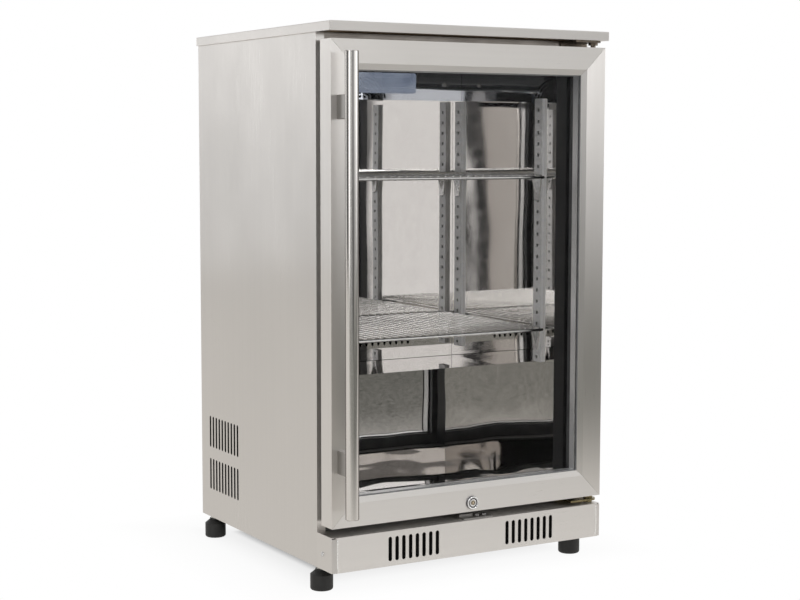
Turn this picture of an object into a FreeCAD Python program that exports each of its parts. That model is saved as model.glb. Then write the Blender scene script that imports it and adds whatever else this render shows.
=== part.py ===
"""Undercounter refrigerator with one glass door, built piece by piece.

X runs to the right seen from the front, Y runs back and Z runs up, all in millimetres.
While a piece is drawn, y = 0 is the front edge of the worktop. save() then moves it so that
the origin lies on the floor, in the middle of the whole footprint, handle included.
"""
import math
import os

import FreeCAD
import Part

V = FreeCAD.Vector
X_AXIS = V(1, 0, 0)
Y_AXIS = V(0, 1, 0)
Z_AXIS = V(0, 0, 1)

# Overall sizes
TOP_HALF = 250.0          # half the worktop's width
TOP_DEPTH = 480.0
HEIGHT = 850.0
TOP_THICK = 14.0
HANDLE_REACH = 40.0       # how far the handle stands out in front of the worktop
SHEET = 1.0               # stainless and galvanised sheet
ORIGIN_Y = (TOP_DEPTH - HANDLE_REACH) / 2

# Cabinet shell
BODY_X = 246.0
BODY_FRONT = 52.0
BODY_BACK = TOP_DEPTH
BODY_BOTTOM = 39.0
BODY_TOP = HEIGHT - TOP_THICK
FLANGE = 13.0             # width of a side panel's bent flanges
REAR_PLANE = 477.0        # inner face of the rear panel and the rear grille
TRAY_BOTTOM = BODY_BOTTOM + SHEET
TRAY_TOP = TRAY_BOTTOM + 1.5

# Refrigerated space
CAV_X = 206.0
CAV_FRONT = 80.0
CAV_FLOOR = 100.0
CAV_TOP = 800.0
SILL_Z = 130.0            # lower edge of the mouth, above the floor
STEP_Y = 249.0            # front of the step over the machine compartment
STEP_Z = 294.0
DUCT_BACK = 440.0         # back wall of the air duct
PANEL_Y = 395.0           # polished panel in front of the duct
PANEL_TOP = 748.0
HOOD_Y = 366.0
BREAKER_T = 4.0
GUARD_X = 5.0             # centre of the ringed air outlet
GUARD_Z = 744.0
GUARD_RINGS = 7
GUARD_FIRST = 10.0        # middle radius of the smallest ring of slots
GUARD_PITCH = 6.0
GUARD_SLOT = 3.8
GUARD_SPOKE = 1.5         # half the width of a spoke

# Machine compartment
MACH_FRONT = 285.0
MACH_TOP = 258.0

# Kick plate
KICK_FRONT = 3.0
KICK_TOP = 92.7
KICK_CHAMFER_X = 8.0
KICK_CHAMFER_Y = 2.4

# Door
DOOR_FRONT = 5.0
DOOR_BACK = 39.0
DOOR_BOTTOM = 106.0
DOOR_TOP = 825.0
FRAME_W = 44.0            # face width of stiles and rails
FRAME_T = 1.2
LIP_W = 9.0               # sloped inner lip that meets the glass
LIP_DROP = 3.6
MITRE_GAP = 0.15          # half the joint line at each mitred corner
OPEN_X = BODY_X - FRAME_W
OPEN_LOW = DOOR_BOTTOM + FRAME_W
OPEN_HIGH = DOOR_TOP - FRAME_W
GLASS_LAP = 6.0           # glass hidden behind the frame on each side
GLASS_T = 4.0
GLASS_Y = 10.0
SPACER_T = 14.0
SPACER_W = 7.0
GLASS_BACK = GLASS_Y + 2 * GLASS_T + SPACER_T
HINGE_X = 233.0
HINGE_Y = 20.0
PIN_R = 4.0
BUSH_R = 6.0
RUNNING = 0.05            # radial clearance of a running fit

# Slots in the side panels and in the kick plate
VENT_FIRST_Y = 335.0
VENT_PITCH = 12.1
VENT_COUNT = 10
VENT_W = 6.0
VENT_ROWS = ((87.5, 140.5), (160.0, 213.0))
KICK_SLOT_X = 64.2        # middle of the slot nearest to the cabinet's middle
KICK_SLOT_PITCH = 11.9
KICK_SLOT_COUNT = 8
KICK_SLOT_W = 6.3
KICK_SLOT_Z = (46.5, 84.0)

# Handle
HANDLE_X = -230.6
HANDLE_Y = -30.0
HANDLE_R = HANDLE_REACH + HANDLE_Y
HANDLE_LOW = 126.0
HANDLE_HIGH = 806.0
POST_W = 12.0
POST_H = 35.0
POST_Z = (206.0, 726.5)

# Lock in the lower rail
LOCK_Z = 120.0
LOCK_RING_R = 10.5
LOCK_BARREL_R = 8.0
LOCK_CORE_R = 6.0
CAM_Y = 27.0
CAM_T = 2.0
CAM_REACH = 26.0
KEEPER_T = 1.5

# Shelving
PILASTER_DEPTH = 5.0
PILASTER_W = 21.0
PILASTER_T = 1.2
PILASTER_Y = {"front": 112.5, "rear": 358.5}
PILASTER_LOW = 314.0
PILASTER_HIGH = 747.0
HOLE_PITCH = 18.5
HOLE_FIRST = 7.8          # middle of the lowest hole, above the upright's foot
HOLE_SIZE = 5.0
CLIP_T = 2.5
CLIP_TOP = 11.5           # half the clip's width at its top
CLIP_FOOT = 7.0
CLIP_TALL = 36.0
CLIP_REACH = 12.0
SHELF_Z = {"upper": 619.5, "lower": 371.0}
SHELF_FRONT = 88.0
SHELF_REAR = 384.0
SHELF_X = 191.0
SHELF_BEND = 8.0
RAIL_R = 2.5
CROSS_R = 2.1             # the two middle rails
CROSS_LIFT = 0.3
WIRE_R = 1.3
WIRE_PITCH = 14.0
WIRE_SINK = 0.8           # how far a thin wire is welded into a thick one

# Feet
FOOT_X = 230.8
FOOT_Y = (67.0, 461.0)
FOOT_R = 17.5
FOOT_SIDE_H = 24.0        # top of the cup's straight side
FOOT_SHOULDER_R = 11.0
FOOT_SHOULDER_H = 29.5
FOOT_BOSS_R = 9.5
FOOT_CUP_H = 32.5
FOOT_NUT_H = 5.5
STUD_R = 4.0
STUD_TOP = 66.0

# Fans
BLOWER_Y = 415.0
BLOWER_Z = 716.0
BLOWER_R = 17.0
BLOWER_HALF = 130.0
SHAFT_R = 3.0
FAN_X = -166.0
FAN_Y = 385.0
FAN_Z = 150.0
FAN_R = 62.0

# Compressor
COMP_X = 95.0
COMP_Y = 385.0
COMP_R = 68.0
COMP_LOW = 62.0
COMP_TOP = 205.0
PIPE_R = 3.0

# Pan-head screws of the cabinet
SCREW_HEAD_R = 3.6
SCREW_HEAD_H = 1.8
SCREW_R = 1.9
SCREW_L = 7.0

# Temperature control
THERMO_X = 26.0           # its depth from the left wall
KNOB_Y = 175.0
KNOB_Z = 766.0

# Hinges
HINGE_INNER = 191.0
HINGE_PLATE = 3.0
HINGE_NOSE = 8.0          # front edge of a hinge plate
LOW_HINGE_Z = 97.5

# Cord gland
INLET_X = 215.0
INLET_Z = 100.0
INLET_R = 9.0


def box(x0, x1, y0, y1, z0, z1):
    """Block between two corners."""
    return Part.makeBox(x1 - x0, y1 - y0, z1 - z0, V(x0, y0, z0))


def rod(start, axis, length, radius):
    """Solid cylinder from start along axis."""
    return Part.makeCylinder(radius, length, start, axis)


def prism(points, sweep):
    """Closed polygon of 3-D points, swept along a vector."""
    wire = Part.makePolygon([V(*p) for p in points] + [V(*points[0])])
    return Part.Face(wire).extrude(sweep)


def hexagon(centre, axis, across, height):
    """Hexagonal prism, across flats, standing up or along Y."""
    radius = across / math.sqrt(3)
    corners = []
    for i in range(6):
        turn = math.radians(60 * i)
        a = radius * math.cos(turn)
        b = radius * math.sin(turn)
        if axis == Z_AXIS:
            corners.append((centre.x + a, centre.y + b, centre.z))
        else:
            corners.append((centre.x + a, centre.y, centre.z + b))
    return prism(corners, V(axis.x * height, axis.y * height, axis.z * height))


def join(shapes):
    """One solid from overlapping shapes."""
    return shapes[0].multiFuse(shapes[1:]).removeSplitter()


def mirrored(shape):
    """The same piece on the other side of the cabinet."""
    return shape.mirror(V(0, 0, 0), X_AXIS)


def ring(half_outer, low_outer, high_outer, width, y0, y1):
    """Rectangular ring of even width, standing in the XZ plane."""
    outer = box(-half_outer, half_outer, y0, y1, low_outer, high_outer)
    inner = box(width - half_outer, half_outer - width, y0 - 1, y1 + 1,
                low_outer + width, high_outer - width)
    return outer.cut(inner)


def slot_x(y_mid, z0, z1, width, x0, x1):
    """Round-ended upright slot, cut through along X."""
    r = width / 2
    parts = [box(x0, x1, y_mid - r, y_mid + r, z0 + r, z1 - r)]
    for z in (z0 + r, z1 - r):
        parts.append(rod(V(x0, y_mid, z), X_AXIS, x1 - x0, r))
    return join(parts)


def slot_y(x_mid, z0, z1, width, y0, y1):
    """Round-ended upright slot, cut through along Y."""
    r = width / 2
    parts = [box(x_mid - r, x_mid + r, y0, y1, z0 + r, z1 - r)]
    for z in (z0 + r, z1 - r):
        parts.append(rod(V(x_mid, y0, z), Y_AXIS, y1 - y0, r))
    return join(parts)


def pipe(points, radius, bend):
    """Round pipe along straight runs joined by tangent arcs."""
    pts = [V(*p) for p in points]
    edges = []
    start = pts[0]
    for before, corner, after in zip(pts, pts[1:], pts[2:]):
        back = (before - corner).normalize()
        ahead = (after - corner).normalize()
        half = back.getAngle(ahead) / 2
        reach = bend / math.tan(half)
        first = corner + back * reach
        last = corner + ahead * reach
        inward = (back + ahead).normalize()
        middle = corner + inward * (bend / math.sin(half) - bend)
        edges.append(Part.LineSegment(start, first).toShape())
        edges.append(Part.Arc(first, middle, last).toShape())
        start = last
    edges.append(Part.LineSegment(start, pts[-1]).toShape())
    circle = Part.Circle(pts[0], pts[1] - pts[0], radius).toShape()
    return Part.Wire(edges).makePipeShell([Part.Wire([circle])], True, False)


def pan_screw(seat, outward, head_r, head_h, shank_r, shank_l):
    """Pan-head screw: seat is under the head, outward is the way the head points."""
    head = rod(seat, outward, head_h, head_r)
    rim = [e for e in head.Edges if abs(e.Length - 2 * math.pi * head_r) < 0.01
           and abs((e.CenterOfMass - seat).Length - head_h) < 0.01]
    head = head.makeFillet(head_h * 0.6, rim)
    cross = box(-head_r, head_r, -0.4, 0.4, -0.4, 0.4)
    cross = join([cross, box(-0.4, 0.4, -head_r, head_r, -0.4, 0.4),
                  box(-0.4, 0.4, -0.4, 0.4, -head_r, head_r)])
    cross.translate(seat + outward * head_h)
    shank = rod(seat - outward * shank_l, outward, shank_l, shank_r)
    return join([head.cut(cross), shank])


def panel_screw_seats():
    """Where each pan-head screw sits and which way its head points."""
    seats = []
    for side in (-1, 1):
        seats.append((V(side * BODY_X, 34, 63), V(side, 0, 0)))
        seats.append((V(side * 170, HOOD_Y, 776), V(0, -1, 0)))
        for z in (52, 150, 246, 330, 560, 800):
            seats.append((V(side * 239, REAR_PLANE + SHEET, z), V(0, 1, 0)))
        seats.append((V(218 + side * 10, 48.9, 72), V(0, -1, 0)))
        seats.append((V(27.5 + side * 6.5, 24, KICK_TOP + KEEPER_T), V(0, 0, 1)))
    return seats


def screw_bores():
    """Clearance for every panel screw's shank."""
    bores = []
    for seat, outward in panel_screw_seats():
        length = SCREW_L + 0.5
        bores.append(rod(seat - outward * length, outward, length + 0.1, SCREW_R))
    return Part.makeCompound(bores)


def panel_screws():
    """All the pan-head screws of the cabinet, each one its own solid."""
    screws = []
    for seat, outward in panel_screw_seats():
        screws.append(pan_screw(seat, outward, SCREW_HEAD_R, SCREW_HEAD_H, SCREW_R, SCREW_L))
    return Part.makeCompound(screws)


def worktop():
    """Folded stainless top with rounded upper edges and returns underneath."""
    lip = 12.0
    skin = box(-TOP_HALF, TOP_HALF, 0, TOP_DEPTH, BODY_TOP, HEIGHT)
    rim = [e for e in skin.Edges if e.CenterOfMass.z > HEIGHT - 1
           or abs(e.Length - TOP_THICK) < 0.01]
    skin = skin.makeFillet(1.6, rim)
    inside = box(-TOP_HALF + SHEET, TOP_HALF - SHEET, SHEET, TOP_DEPTH - SHEET,
                 BODY_TOP + SHEET, HEIGHT - SHEET)
    under = box(-TOP_HALF + lip, TOP_HALF - lip, lip, TOP_DEPTH - lip, BODY_TOP - 1, HEIGHT - 2)
    return skin.cut(inside).cut(under)


def worktop_board():
    """Board that stiffens the worktop, held by its folded edges."""
    gap = SHEET + 1.0
    return box(-TOP_HALF + gap, TOP_HALF - gap, gap, TOP_DEPTH - gap,
               BODY_TOP + SHEET, HEIGHT - SHEET)


def side_panel():
    """Left side panel, bent in at the front, the back and the bottom, with vent slots."""
    inner = SHEET - BODY_X
    edge = inner + FLANGE
    panel = join([
        box(-BODY_X, inner, BODY_FRONT, BODY_BACK, BODY_BOTTOM, BODY_TOP),
        box(-BODY_X, edge, BODY_FRONT, BODY_FRONT + SHEET, BODY_BOTTOM, BODY_TOP),
        box(-BODY_X, edge, REAR_PLANE - SHEET, REAR_PLANE, BODY_BOTTOM, BODY_TOP),
        box(-BODY_X, edge, BODY_FRONT, REAR_PLANE, BODY_BOTTOM, BODY_BOTTOM + SHEET),
    ])
    vents = []
    for low, high in VENT_ROWS:
        for i in range(VENT_COUNT):
            vents.append(slot_x(VENT_FIRST_Y + i * VENT_PITCH, low, high, VENT_W,
                                -BODY_X - 1, inner + 1))
    panel = panel.cut(Part.makeCompound(vents))
    return panel.cut(foot_bores()).cut(screw_bores())


def rear_panel():
    """Flat sheet behind the foam, between the side panels' edges."""
    half = BODY_X - SHEET - 0.2
    sheet = box(-half, half, REAR_PLANE, REAR_PLANE + SHEET, 290, BODY_TOP - 0.5)
    return sheet.cut(screw_bores())


def rear_grille():
    """Removable cover of the machine compartment, with rows of slots."""
    half = BODY_X - SHEET - 0.2
    cover = box(-half, half, REAR_PLANE, REAR_PLANE + SHEET, TRAY_TOP, 289.5)
    slots = []
    for low in (80.0, 130.0, 180.0):
        for i in range(25):
            slots.append(slot_y(-168 + 14.0 * i, low, low + 38, 5.0,
                                REAR_PLANE - 1, REAR_PLANE + SHEET + 1))
    inlet = rod(V(INLET_X, REAR_PLANE - 1, INLET_Z), Y_AXIS, 4, INLET_R)
    return cover.cut(Part.makeCompound(slots)).cut(inlet).cut(screw_bores())


def base_tray():
    """Galvanised tray under the cabinet, with the four threaded foot holes."""
    half = BODY_X - SHEET
    tray = box(-half, half, BODY_FRONT + SHEET, REAR_PLANE - SHEET, TRAY_BOTTOM, TRAY_TOP)
    lip = box(-half, half, MACH_FRONT + SHEET, MACH_FRONT + 2 * SHEET, TRAY_TOP, TRAY_TOP + 15)
    tray = join([tray, lip])
    return tray.cut(foot_bores())


def front_frame():
    """Stainless face around the mouth, which the door seal closes on."""
    half = BODY_X - SHEET - FLANGE
    lip = BREAKER_T
    face = box(-half, half, BODY_FRONT, BODY_FRONT + SHEET, TRAY_TOP, BODY_TOP)
    mouth = box(-CAV_X - lip, CAV_X + lip, BODY_FRONT - 1, BODY_FRONT + 2,
                SILL_Z - lip, CAV_TOP + lip)
    return face.cut(mouth).cut(screw_bores())


def breaker_frame():
    """Black plastic collar between the cold liner and the outer face."""
    lip = BREAKER_T
    return ring(CAV_X + lip, SILL_Z - lip, CAV_TOP + lip, lip, BODY_FRONT, CAV_FRONT)


def cavity(grow, front):
    """Inside of the liner, with its step, grown by the sheet it is made of."""
    points = [
        (front, CAV_FLOOR - grow),
        (STEP_Y + grow, CAV_FLOOR - grow),
        (STEP_Y + grow, STEP_Z - grow),
        (DUCT_BACK + grow, STEP_Z - grow),
        (DUCT_BACK + grow, CAV_TOP + grow),
        (front, CAV_TOP + grow),
    ]
    half = CAV_X + grow
    return prism([(-half, y, z) for y, z in points], V(2 * half, 0, 0))


def insulation():
    """Foam between the outer shell and the liner, in one piece."""
    half = BODY_X - SHEET
    back = REAR_PLANE - SHEET
    foam = box(-half, half, BODY_FRONT + SHEET, back, TRAY_TOP, BODY_TOP)
    collar = CAV_X + BREAKER_T
    mouth = box(-collar, collar, BODY_FRONT, CAV_FRONT, SILL_Z - BREAKER_T, CAV_TOP + BREAKER_T)
    machine = box(-half, half, MACH_FRONT, back, TRAY_TOP, MACH_TOP)
    foam = foam.cut(cavity(SHEET, CAV_FRONT)).cut(mouth).cut(machine)
    return foam.cut(foot_bores()).cut(screw_bores())


def liner():
    """Polished inner lining: walls, ceiling, stepped floor and back."""
    shell = cavity(SHEET, CAV_FRONT).cut(cavity(0, CAV_FRONT))
    sill = box(-CAV_X, CAV_X, CAV_FRONT, CAV_FRONT + SHEET, CAV_FLOOR, SILL_Z - BREAKER_T)
    return join([shell, sill])


def back_panel():
    """Polished panel in front of the air duct, with return-air slots near its foot."""
    half = CAV_X - 0.4
    panel = box(-half, half, PANEL_Y, PANEL_Y + SHEET, STEP_Z + 0.5, PANEL_TOP)
    slots = []
    for i in range(20):
        slots.append(slot_y(12.0 * (i - 9.5), 320.0, 356.0, 5.0, PANEL_Y - 1, PANEL_Y + 2))
    return panel.cut(Part.makeCompound(slots))


def guard_slots():
    """Half rings of slots round the fan's centre, left whole along three spokes."""
    centre = V(GUARD_X, HOOD_Y - 1, GUARD_Z)
    rings = []
    for i in range(GUARD_RINGS):
        middle = GUARD_FIRST + GUARD_PITCH * i
        outer = rod(centre, Y_AXIS, 3, middle + GUARD_SLOT / 2)
        rings.append(outer.cut(rod(centre, Y_AXIS, 3, middle - GUARD_SLOT / 2)))
    slots = Part.makeCompound(rings).common(
        box(-CAV_X, CAV_X, HOOD_Y - 1, HOOD_Y + 2, PANEL_TOP + 3, CAV_TOP - 4))
    for turn in (-60, 0, 60):
        spoke = box(-GUARD_SPOKE, GUARD_SPOKE, -1, 4, 0, 60)
        spoke.rotate(V(0, 0, 0), Y_AXIS, turn)
        spoke.translate(centre)
        slots = slots.cut(spoke)
    return slots


def discharge_hood():
    """Polished air outlet under the ceiling, slotted like a fan guard."""
    half = CAV_X - 0.4
    hood = join([
        box(-half, half, HOOD_Y, HOOD_Y + SHEET, PANEL_TOP, CAV_TOP - 0.5),
        box(-half, half, HOOD_Y, PANEL_Y + SHEET, PANEL_TOP, PANEL_TOP + SHEET),
    ])
    return hood.cut(guard_slots()).cut(screw_bores())


def finned_coil(x0, x1, y0, y1, z0, z1, fins, passes, along_x):
    """Finned block on a serpentine tube; fins stand across the tube's direction."""
    tube_r = 4.0
    start, end = (x0, x1) if along_x else (y0, y1)
    parts = []
    for i in range(fins):
        at = start + (end - start) * (i + 0.5) / fins - 0.5
        if along_x:
            parts.append(box(at, at + 1, y0, y1, z0, z1))
        else:
            parts.append(box(x0, x1, at, at + 1, z0, z1))
    pitch = (z1 - z0) / passes
    mid_x = (x0 + x1) / 2
    mid_y = (y0 + y1) / 2
    length = end - start
    for i in range(passes):
        z = z0 + pitch * (i + 0.5)
        begin = V(x0, mid_y, z) if along_x else V(mid_x, y0, z)
        parts.append(rod(begin, X_AXIS if along_x else Y_AXIS, length, tube_r))
        if i < passes - 1:
            far = i % 2 == 0
            spot = end if far else start
            centre = V(spot, mid_y, z + pitch / 2) if along_x else V(mid_x, spot, z + pitch / 2)
            normal = Y_AXIS if along_x else X_AXIS
            turn = Part.makeTorus(pitch / 2, tube_r, centre, normal)
            room = 2 * pitch
            if along_x:
                low = spot if far else spot - room
                keep = box(low, low + room, y0 - 9, y1 + 9, z - room, z + 2 * room)
            else:
                low = spot if far else spot - room
                keep = box(x0 - 9, x1 + 9, low, low + room, z - room, z + 2 * room)
            parts.append(turn.common(keep))
    return join(parts)


def evaporator_coil():
    """Finned evaporator in the duct behind the polished panel."""
    return finned_coil(-140, 140, 399, 437, 420, 640, 22, 6, True)


def blower_housing():
    """Trough that holds the cross-flow rotor, with its motor on the right-hand end."""
    end = BLOWER_HALF + 4
    back = box(-end, end, 436, 437, 690, 742)
    floor = box(-end, end, 398, 437, 690, 691)
    parts = [back, floor]
    for x in (-end, end - 1.5):
        parts.append(box(x, x + 1.5, 398, 437, 690, 742))
    trough = join(parts)
    motor = join([rod(V(end, BLOWER_Y, BLOWER_Z), X_AXIS, 34, 17),
                  rod(V(end + 34, BLOWER_Y, BLOWER_Z), X_AXIS, 4, 7)])
    bore = rod(V(-end - 1, BLOWER_Y, BLOWER_Z), X_AXIS, 2 * end + 21, SHAFT_R + RUNNING)
    return Part.makeCompound([trough.cut(bore), motor.cut(bore)])


def blower_rotor():
    """Cross-flow rotor: discs on a shaft, with a ring of long blades."""
    blades = 16
    start = V(-BLOWER_HALF - 3, BLOWER_Y, BLOWER_Z)
    parts = [rod(start, X_AXIS, 2 * BLOWER_HALF + 20, SHAFT_R)]
    for i in range(5):
        x = -BLOWER_HALF + i * (2 * BLOWER_HALF - 2) / 4
        parts.append(rod(V(x, BLOWER_Y, BLOWER_Z), X_AXIS, 2, BLOWER_R - 0.5))
    for i in range(blades):
        blade = box(-BLOWER_HALF, BLOWER_HALF, -0.6, 0.6, -3.2, 3.2)
        blade.rotate(V(0, 0, 0), X_AXIS, 38)
        blade.translate(V(0, 0, BLOWER_R - 3.4))
        blade.rotate(V(0, 0, 0), X_AXIS, 360 * i / blades)
        blade.translate(V(0, BLOWER_Y, BLOWER_Z))
        parts.append(blade)
    return join(parts)


def light_bar():
    """Lamp strip under the ceiling, just inside the mouth."""
    base = box(-150, 150, 92, 112, 794, CAV_TOP)
    lens = rod(V(-148, 102, 794), X_AXIS, 296, 6)
    return join([base, lens])


def thermostat_box():
    """Temperature control on the left wall, high up."""
    face = THERMO_X - CAV_X
    case = box(-CAV_X, face, 146, 204, 742, 790)
    upright = [e for e in case.Edges if abs(e.CenterOfMass.x - face) < 0.01]
    case = case.makeFillet(2.5, upright)
    return case.cut(rod(V(face - 9, KNOB_Y, KNOB_Z), X_AXIS, 10, SHAFT_R + RUNNING))


def thermostat_knob():
    """Knob with a grip bar and a stem that turns in the control."""
    face = THERMO_X - CAV_X
    disc = rod(V(face + 0.6, KNOB_Y, KNOB_Z), X_AXIS, 6, 15)
    grip = box(face + 6, face + 15, KNOB_Y - 3.5, KNOB_Y + 3.5, KNOB_Z - 14, KNOB_Z + 14)
    stem = rod(V(face - 8, KNOB_Y, KNOB_Z), X_AXIS, 9, SHAFT_R)
    return join([disc, grip, stem])


def pilaster(place):
    """Right-hand shelf upright: a perforated channel on the side wall."""
    y0 = PILASTER_Y[place]
    y1 = y0 + PILASTER_W
    face = CAV_X - PILASTER_DEPTH
    strip = box(face, CAV_X, y0, y1, PILASTER_LOW, PILASTER_HIGH)
    hollow = box(face + PILASTER_T, CAV_X + 1, y0 + PILASTER_T, y1 - PILASTER_T,
                 PILASTER_LOW - 1, PILASTER_HIGH + 1)
    holes = []
    count = int((PILASTER_HIGH - PILASTER_LOW) / HOLE_PITCH)
    mid = (y0 + y1) / 2
    half = HOLE_SIZE / 2
    for i in range(count):
        z = PILASTER_LOW + HOLE_FIRST + HOLE_PITCH * i
        holes.append(box(face - 1, face + 3, mid - half, mid + half, z - half, z + half))
    return strip.cut(hollow).cut(Part.makeCompound(holes))


def shelf_clip(place, level):
    """Right-hand clip: a tapered plate on the upright, with a ledge for the shelf's rail."""
    face = CAV_X - PILASTER_DEPTH
    mid = PILASTER_Y[place] + PILASTER_W / 2
    top = SHELF_Z[level] - RAIL_R
    outer = face - CLIP_T
    plate = prism([(outer, mid - CLIP_TOP, top), (outer, mid + CLIP_TOP, top),
                   (outer, mid + CLIP_FOOT, top - CLIP_TALL),
                   (outer, mid - CLIP_FOOT, top - CLIP_TALL)], V(CLIP_T, 0, 0))
    ledge = box(face - CLIP_REACH, face - 2, mid - CLIP_TOP + 2, mid + CLIP_TOP - 2, top - 3, top)
    brace = prism([(face - CLIP_REACH + 1, mid - 1, top - 3), (outer, mid - 1, top - 3),
                   (outer, mid - 1, top - CLIP_TALL + 10)], V(0, 2, 0))
    return join([plate, ledge, brace])


def shelf_clips():
    """Eight clips, four for each shelf."""
    clips = []
    for place in PILASTER_Y:
        for level in SHELF_Z:
            clip = shelf_clip(place, level)
            clips.append(clip)
            clips.append(mirrored(clip))
    return Part.makeCompound(clips)


def shelf():
    """Wire shelf at z = 0: a bent frame and two cross rails under closely set thin wires."""
    y0, y1 = SHELF_FRONT, SHELF_REAR
    half = SHELF_X
    bend = SHELF_BEND
    frame = []
    for sx, sy in ((-1, -1), (1, -1), (1, 1), (-1, 1)):
        corner_x = sx * (half - bend)
        corner_y = (y0 if sy < 0 else y1) - sy * bend
        on_side = V(sx * half, corner_y, 0)
        on_end = V(corner_x, corner_y + sy * bend, 0)
        slant = bend * math.sqrt(0.5)
        middle = V(corner_x + sx * slant, corner_y + sy * slant, 0)
        frame.append(Part.Arc(on_side, middle, on_end).toShape())
        if sy < 0:
            frame.append(Part.LineSegment(on_side, V(sx * half, y1 - bend, 0)).toShape())
    for y in (y0, y1):
        frame.append(Part.LineSegment(V(bend - half, y, 0), V(half - bend, y, 0)).toShape())
    path = Part.Wire(Part.__sortEdges__(frame))
    first = path.OrderedEdges[0]
    at = first.valueAt(first.FirstParameter)
    circle = Part.Circle(at, first.tangentAt(first.FirstParameter), RAIL_R).toShape()
    parts = [path.makePipeShell([Part.Wire([circle])], True, False)]
    depth = y1 - y0
    for y in (y0 + depth / 3, y1 - depth / 3):
        parts.append(rod(V(-half, y, CROSS_LIFT), X_AXIS, 2 * half, CROSS_R))
    lift = RAIL_R + WIRE_R - WIRE_SINK
    count = int((half - bend) / WIRE_PITCH)
    for i in range(-count, count + 1):
        start = V(i * WIRE_PITCH, y0 - 1, lift)
        parts.append(rod(start, Y_AXIS, depth + 2, WIRE_R))
    return parts[0].multiFuse(parts[1:])


def kick_outline(inset):
    """Plan of the kick plate, inset by the sheet's thickness for its inner side."""
    half = BODY_X - inset
    front = KICK_FRONT + inset
    return [(-half, BODY_FRONT), (-half, front + KICK_CHAMFER_Y), (KICK_CHAMFER_X - half, front),
            (half - KICK_CHAMFER_X, front), (half, front + KICK_CHAMFER_Y), (half, BODY_FRONT)]


def kick_plate():
    """Slotted plate under the door, bent back at both ends and along the top."""
    outer = prism([(x, y, BODY_BOTTOM) for x, y in kick_outline(0)],
                  V(0, 0, KICK_TOP - BODY_BOTTOM))
    inner = prism([(x, y + 0.01 * (y == BODY_FRONT), BODY_BOTTOM - 1)
                   for x, y in kick_outline(SHEET)], V(0, 0, KICK_TOP - SHEET - BODY_BOTTOM + 1))
    plate = outer.cut(inner)
    lip = box(-230, 230, KICK_FRONT + SHEET, KICK_FRONT + 12, BODY_BOTTOM, BODY_BOTTOM + SHEET)
    plate = join([plate, lip])
    slots = []
    for side in (-1, 1):
        for i in range(KICK_SLOT_COUNT):
            slots.append(slot_y(side * (KICK_SLOT_X + KICK_SLOT_PITCH * i), *KICK_SLOT_Z,
                                KICK_SLOT_W, KICK_FRONT - 1, KICK_FRONT + 2))
        notch_x = side * (BODY_X - 2) - 4
        slots.append(box(notch_x, notch_x + 8, KICK_FRONT - 1, KICK_FRONT + 4,
                         KICK_TOP - 2, KICK_TOP + 1))
    hinge_notch = box(HINGE_INNER - 2, BODY_X - 3, 46, BODY_FRONT + 1,
                      KICK_TOP - 5, KICK_TOP + 1)
    return plate.cut(Part.makeCompound(slots)).cut(hinge_notch).cut(screw_bores())


def hinge_plate(z0):
    """Flat hinge plate with a rounded nose around the pin."""
    nose_r = HINGE_Y - HINGE_NOSE
    flat = box(HINGE_INNER, HINGE_X, HINGE_NOSE, BODY_FRONT - 0.1, z0, z0 + HINGE_PLATE)
    corner = box(HINGE_X - 1, HINGE_X + nose_r - 2, HINGE_Y, BODY_FRONT - 0.1,
                 z0, z0 + HINGE_PLATE)
    nose = rod(V(HINGE_X, HINGE_Y, z0), Z_AXIS, HINGE_PLATE, nose_r)
    plate = join([flat, corner, nose])
    return plate.common(box(0, BODY_X - 1, 0, BODY_FRONT, z0 - 1, z0 + 9))


def hinge_bracket_top():
    """Upper hinge: a plate under the worktop with a pin that points down."""
    z0 = BODY_TOP - HINGE_PLATE
    pin_low = DOOR_TOP - 13
    pin = rod(V(HINGE_X, HINGE_Y, pin_low), Z_AXIS, z0 - pin_low + 1, PIN_R)
    collar = rod(V(HINGE_X, HINGE_Y, z0 - 4), Z_AXIS, 5, 7.5)
    leg = box(HINGE_INNER, BODY_X - 4, BODY_FRONT - 3.1, BODY_FRONT - 0.1, 821, BODY_TOP)
    return join([hinge_plate(z0), pin, collar, leg])


def hinge_bracket_bottom():
    """Lower hinge: a plate on a screwed leg, with a nut and a pin that points up."""
    z0 = LOW_HINGE_Z
    pin = rod(V(HINGE_X, HINGE_Y, z0), Z_AXIS, DOOR_BOTTOM + 13 - z0, PIN_R)
    collar = rod(V(HINGE_X, HINGE_Y, z0), Z_AXIS, 6.5, 7.5)
    nut = hexagon(V(HINGE_X, HINGE_Y, z0 - 4), Z_AXIS, 13, 5)
    leg = box(HINGE_INNER, BODY_X - 4, BODY_FRONT - 3.1, BODY_FRONT - 0.1, 60, z0 + HINGE_PLATE)
    return join([hinge_plate(z0), pin, collar, nut, leg]).cut(screw_bores())


def lock_keeper():
    """Low upturned tab that the lock's cam swings down behind, with its screwed foot."""
    foot = box(-12, 41, 10, 25, KICK_TOP, KICK_TOP + KEEPER_T)
    ear = box(14, 41, 18, 29, KICK_TOP, KICK_TOP + KEEPER_T)
    tab = box(-12, 12, 23, 25, KICK_TOP, KICK_TOP + 5.5)
    return join([foot, ear, tab]).cut(screw_bores())


def machine_partition():
    """Bent sheet that closes the foam off from the machine compartment."""
    half = BODY_X - SHEET
    back = REAR_PLANE - SHEET
    wall = box(-half, half, MACH_FRONT, MACH_FRONT + SHEET, TRAY_TOP, MACH_TOP)
    roof = box(-half, half, MACH_FRONT, back, MACH_TOP - SHEET, MACH_TOP)
    rear_flange = box(-half, FLANGE - half, back - SHEET, back, TRAY_TOP, MACH_TOP)
    sheet = join([wall, roof])
    return sheet.cut(rear_flange).cut(mirrored(rear_flange)).cut(screw_bores())


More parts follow.
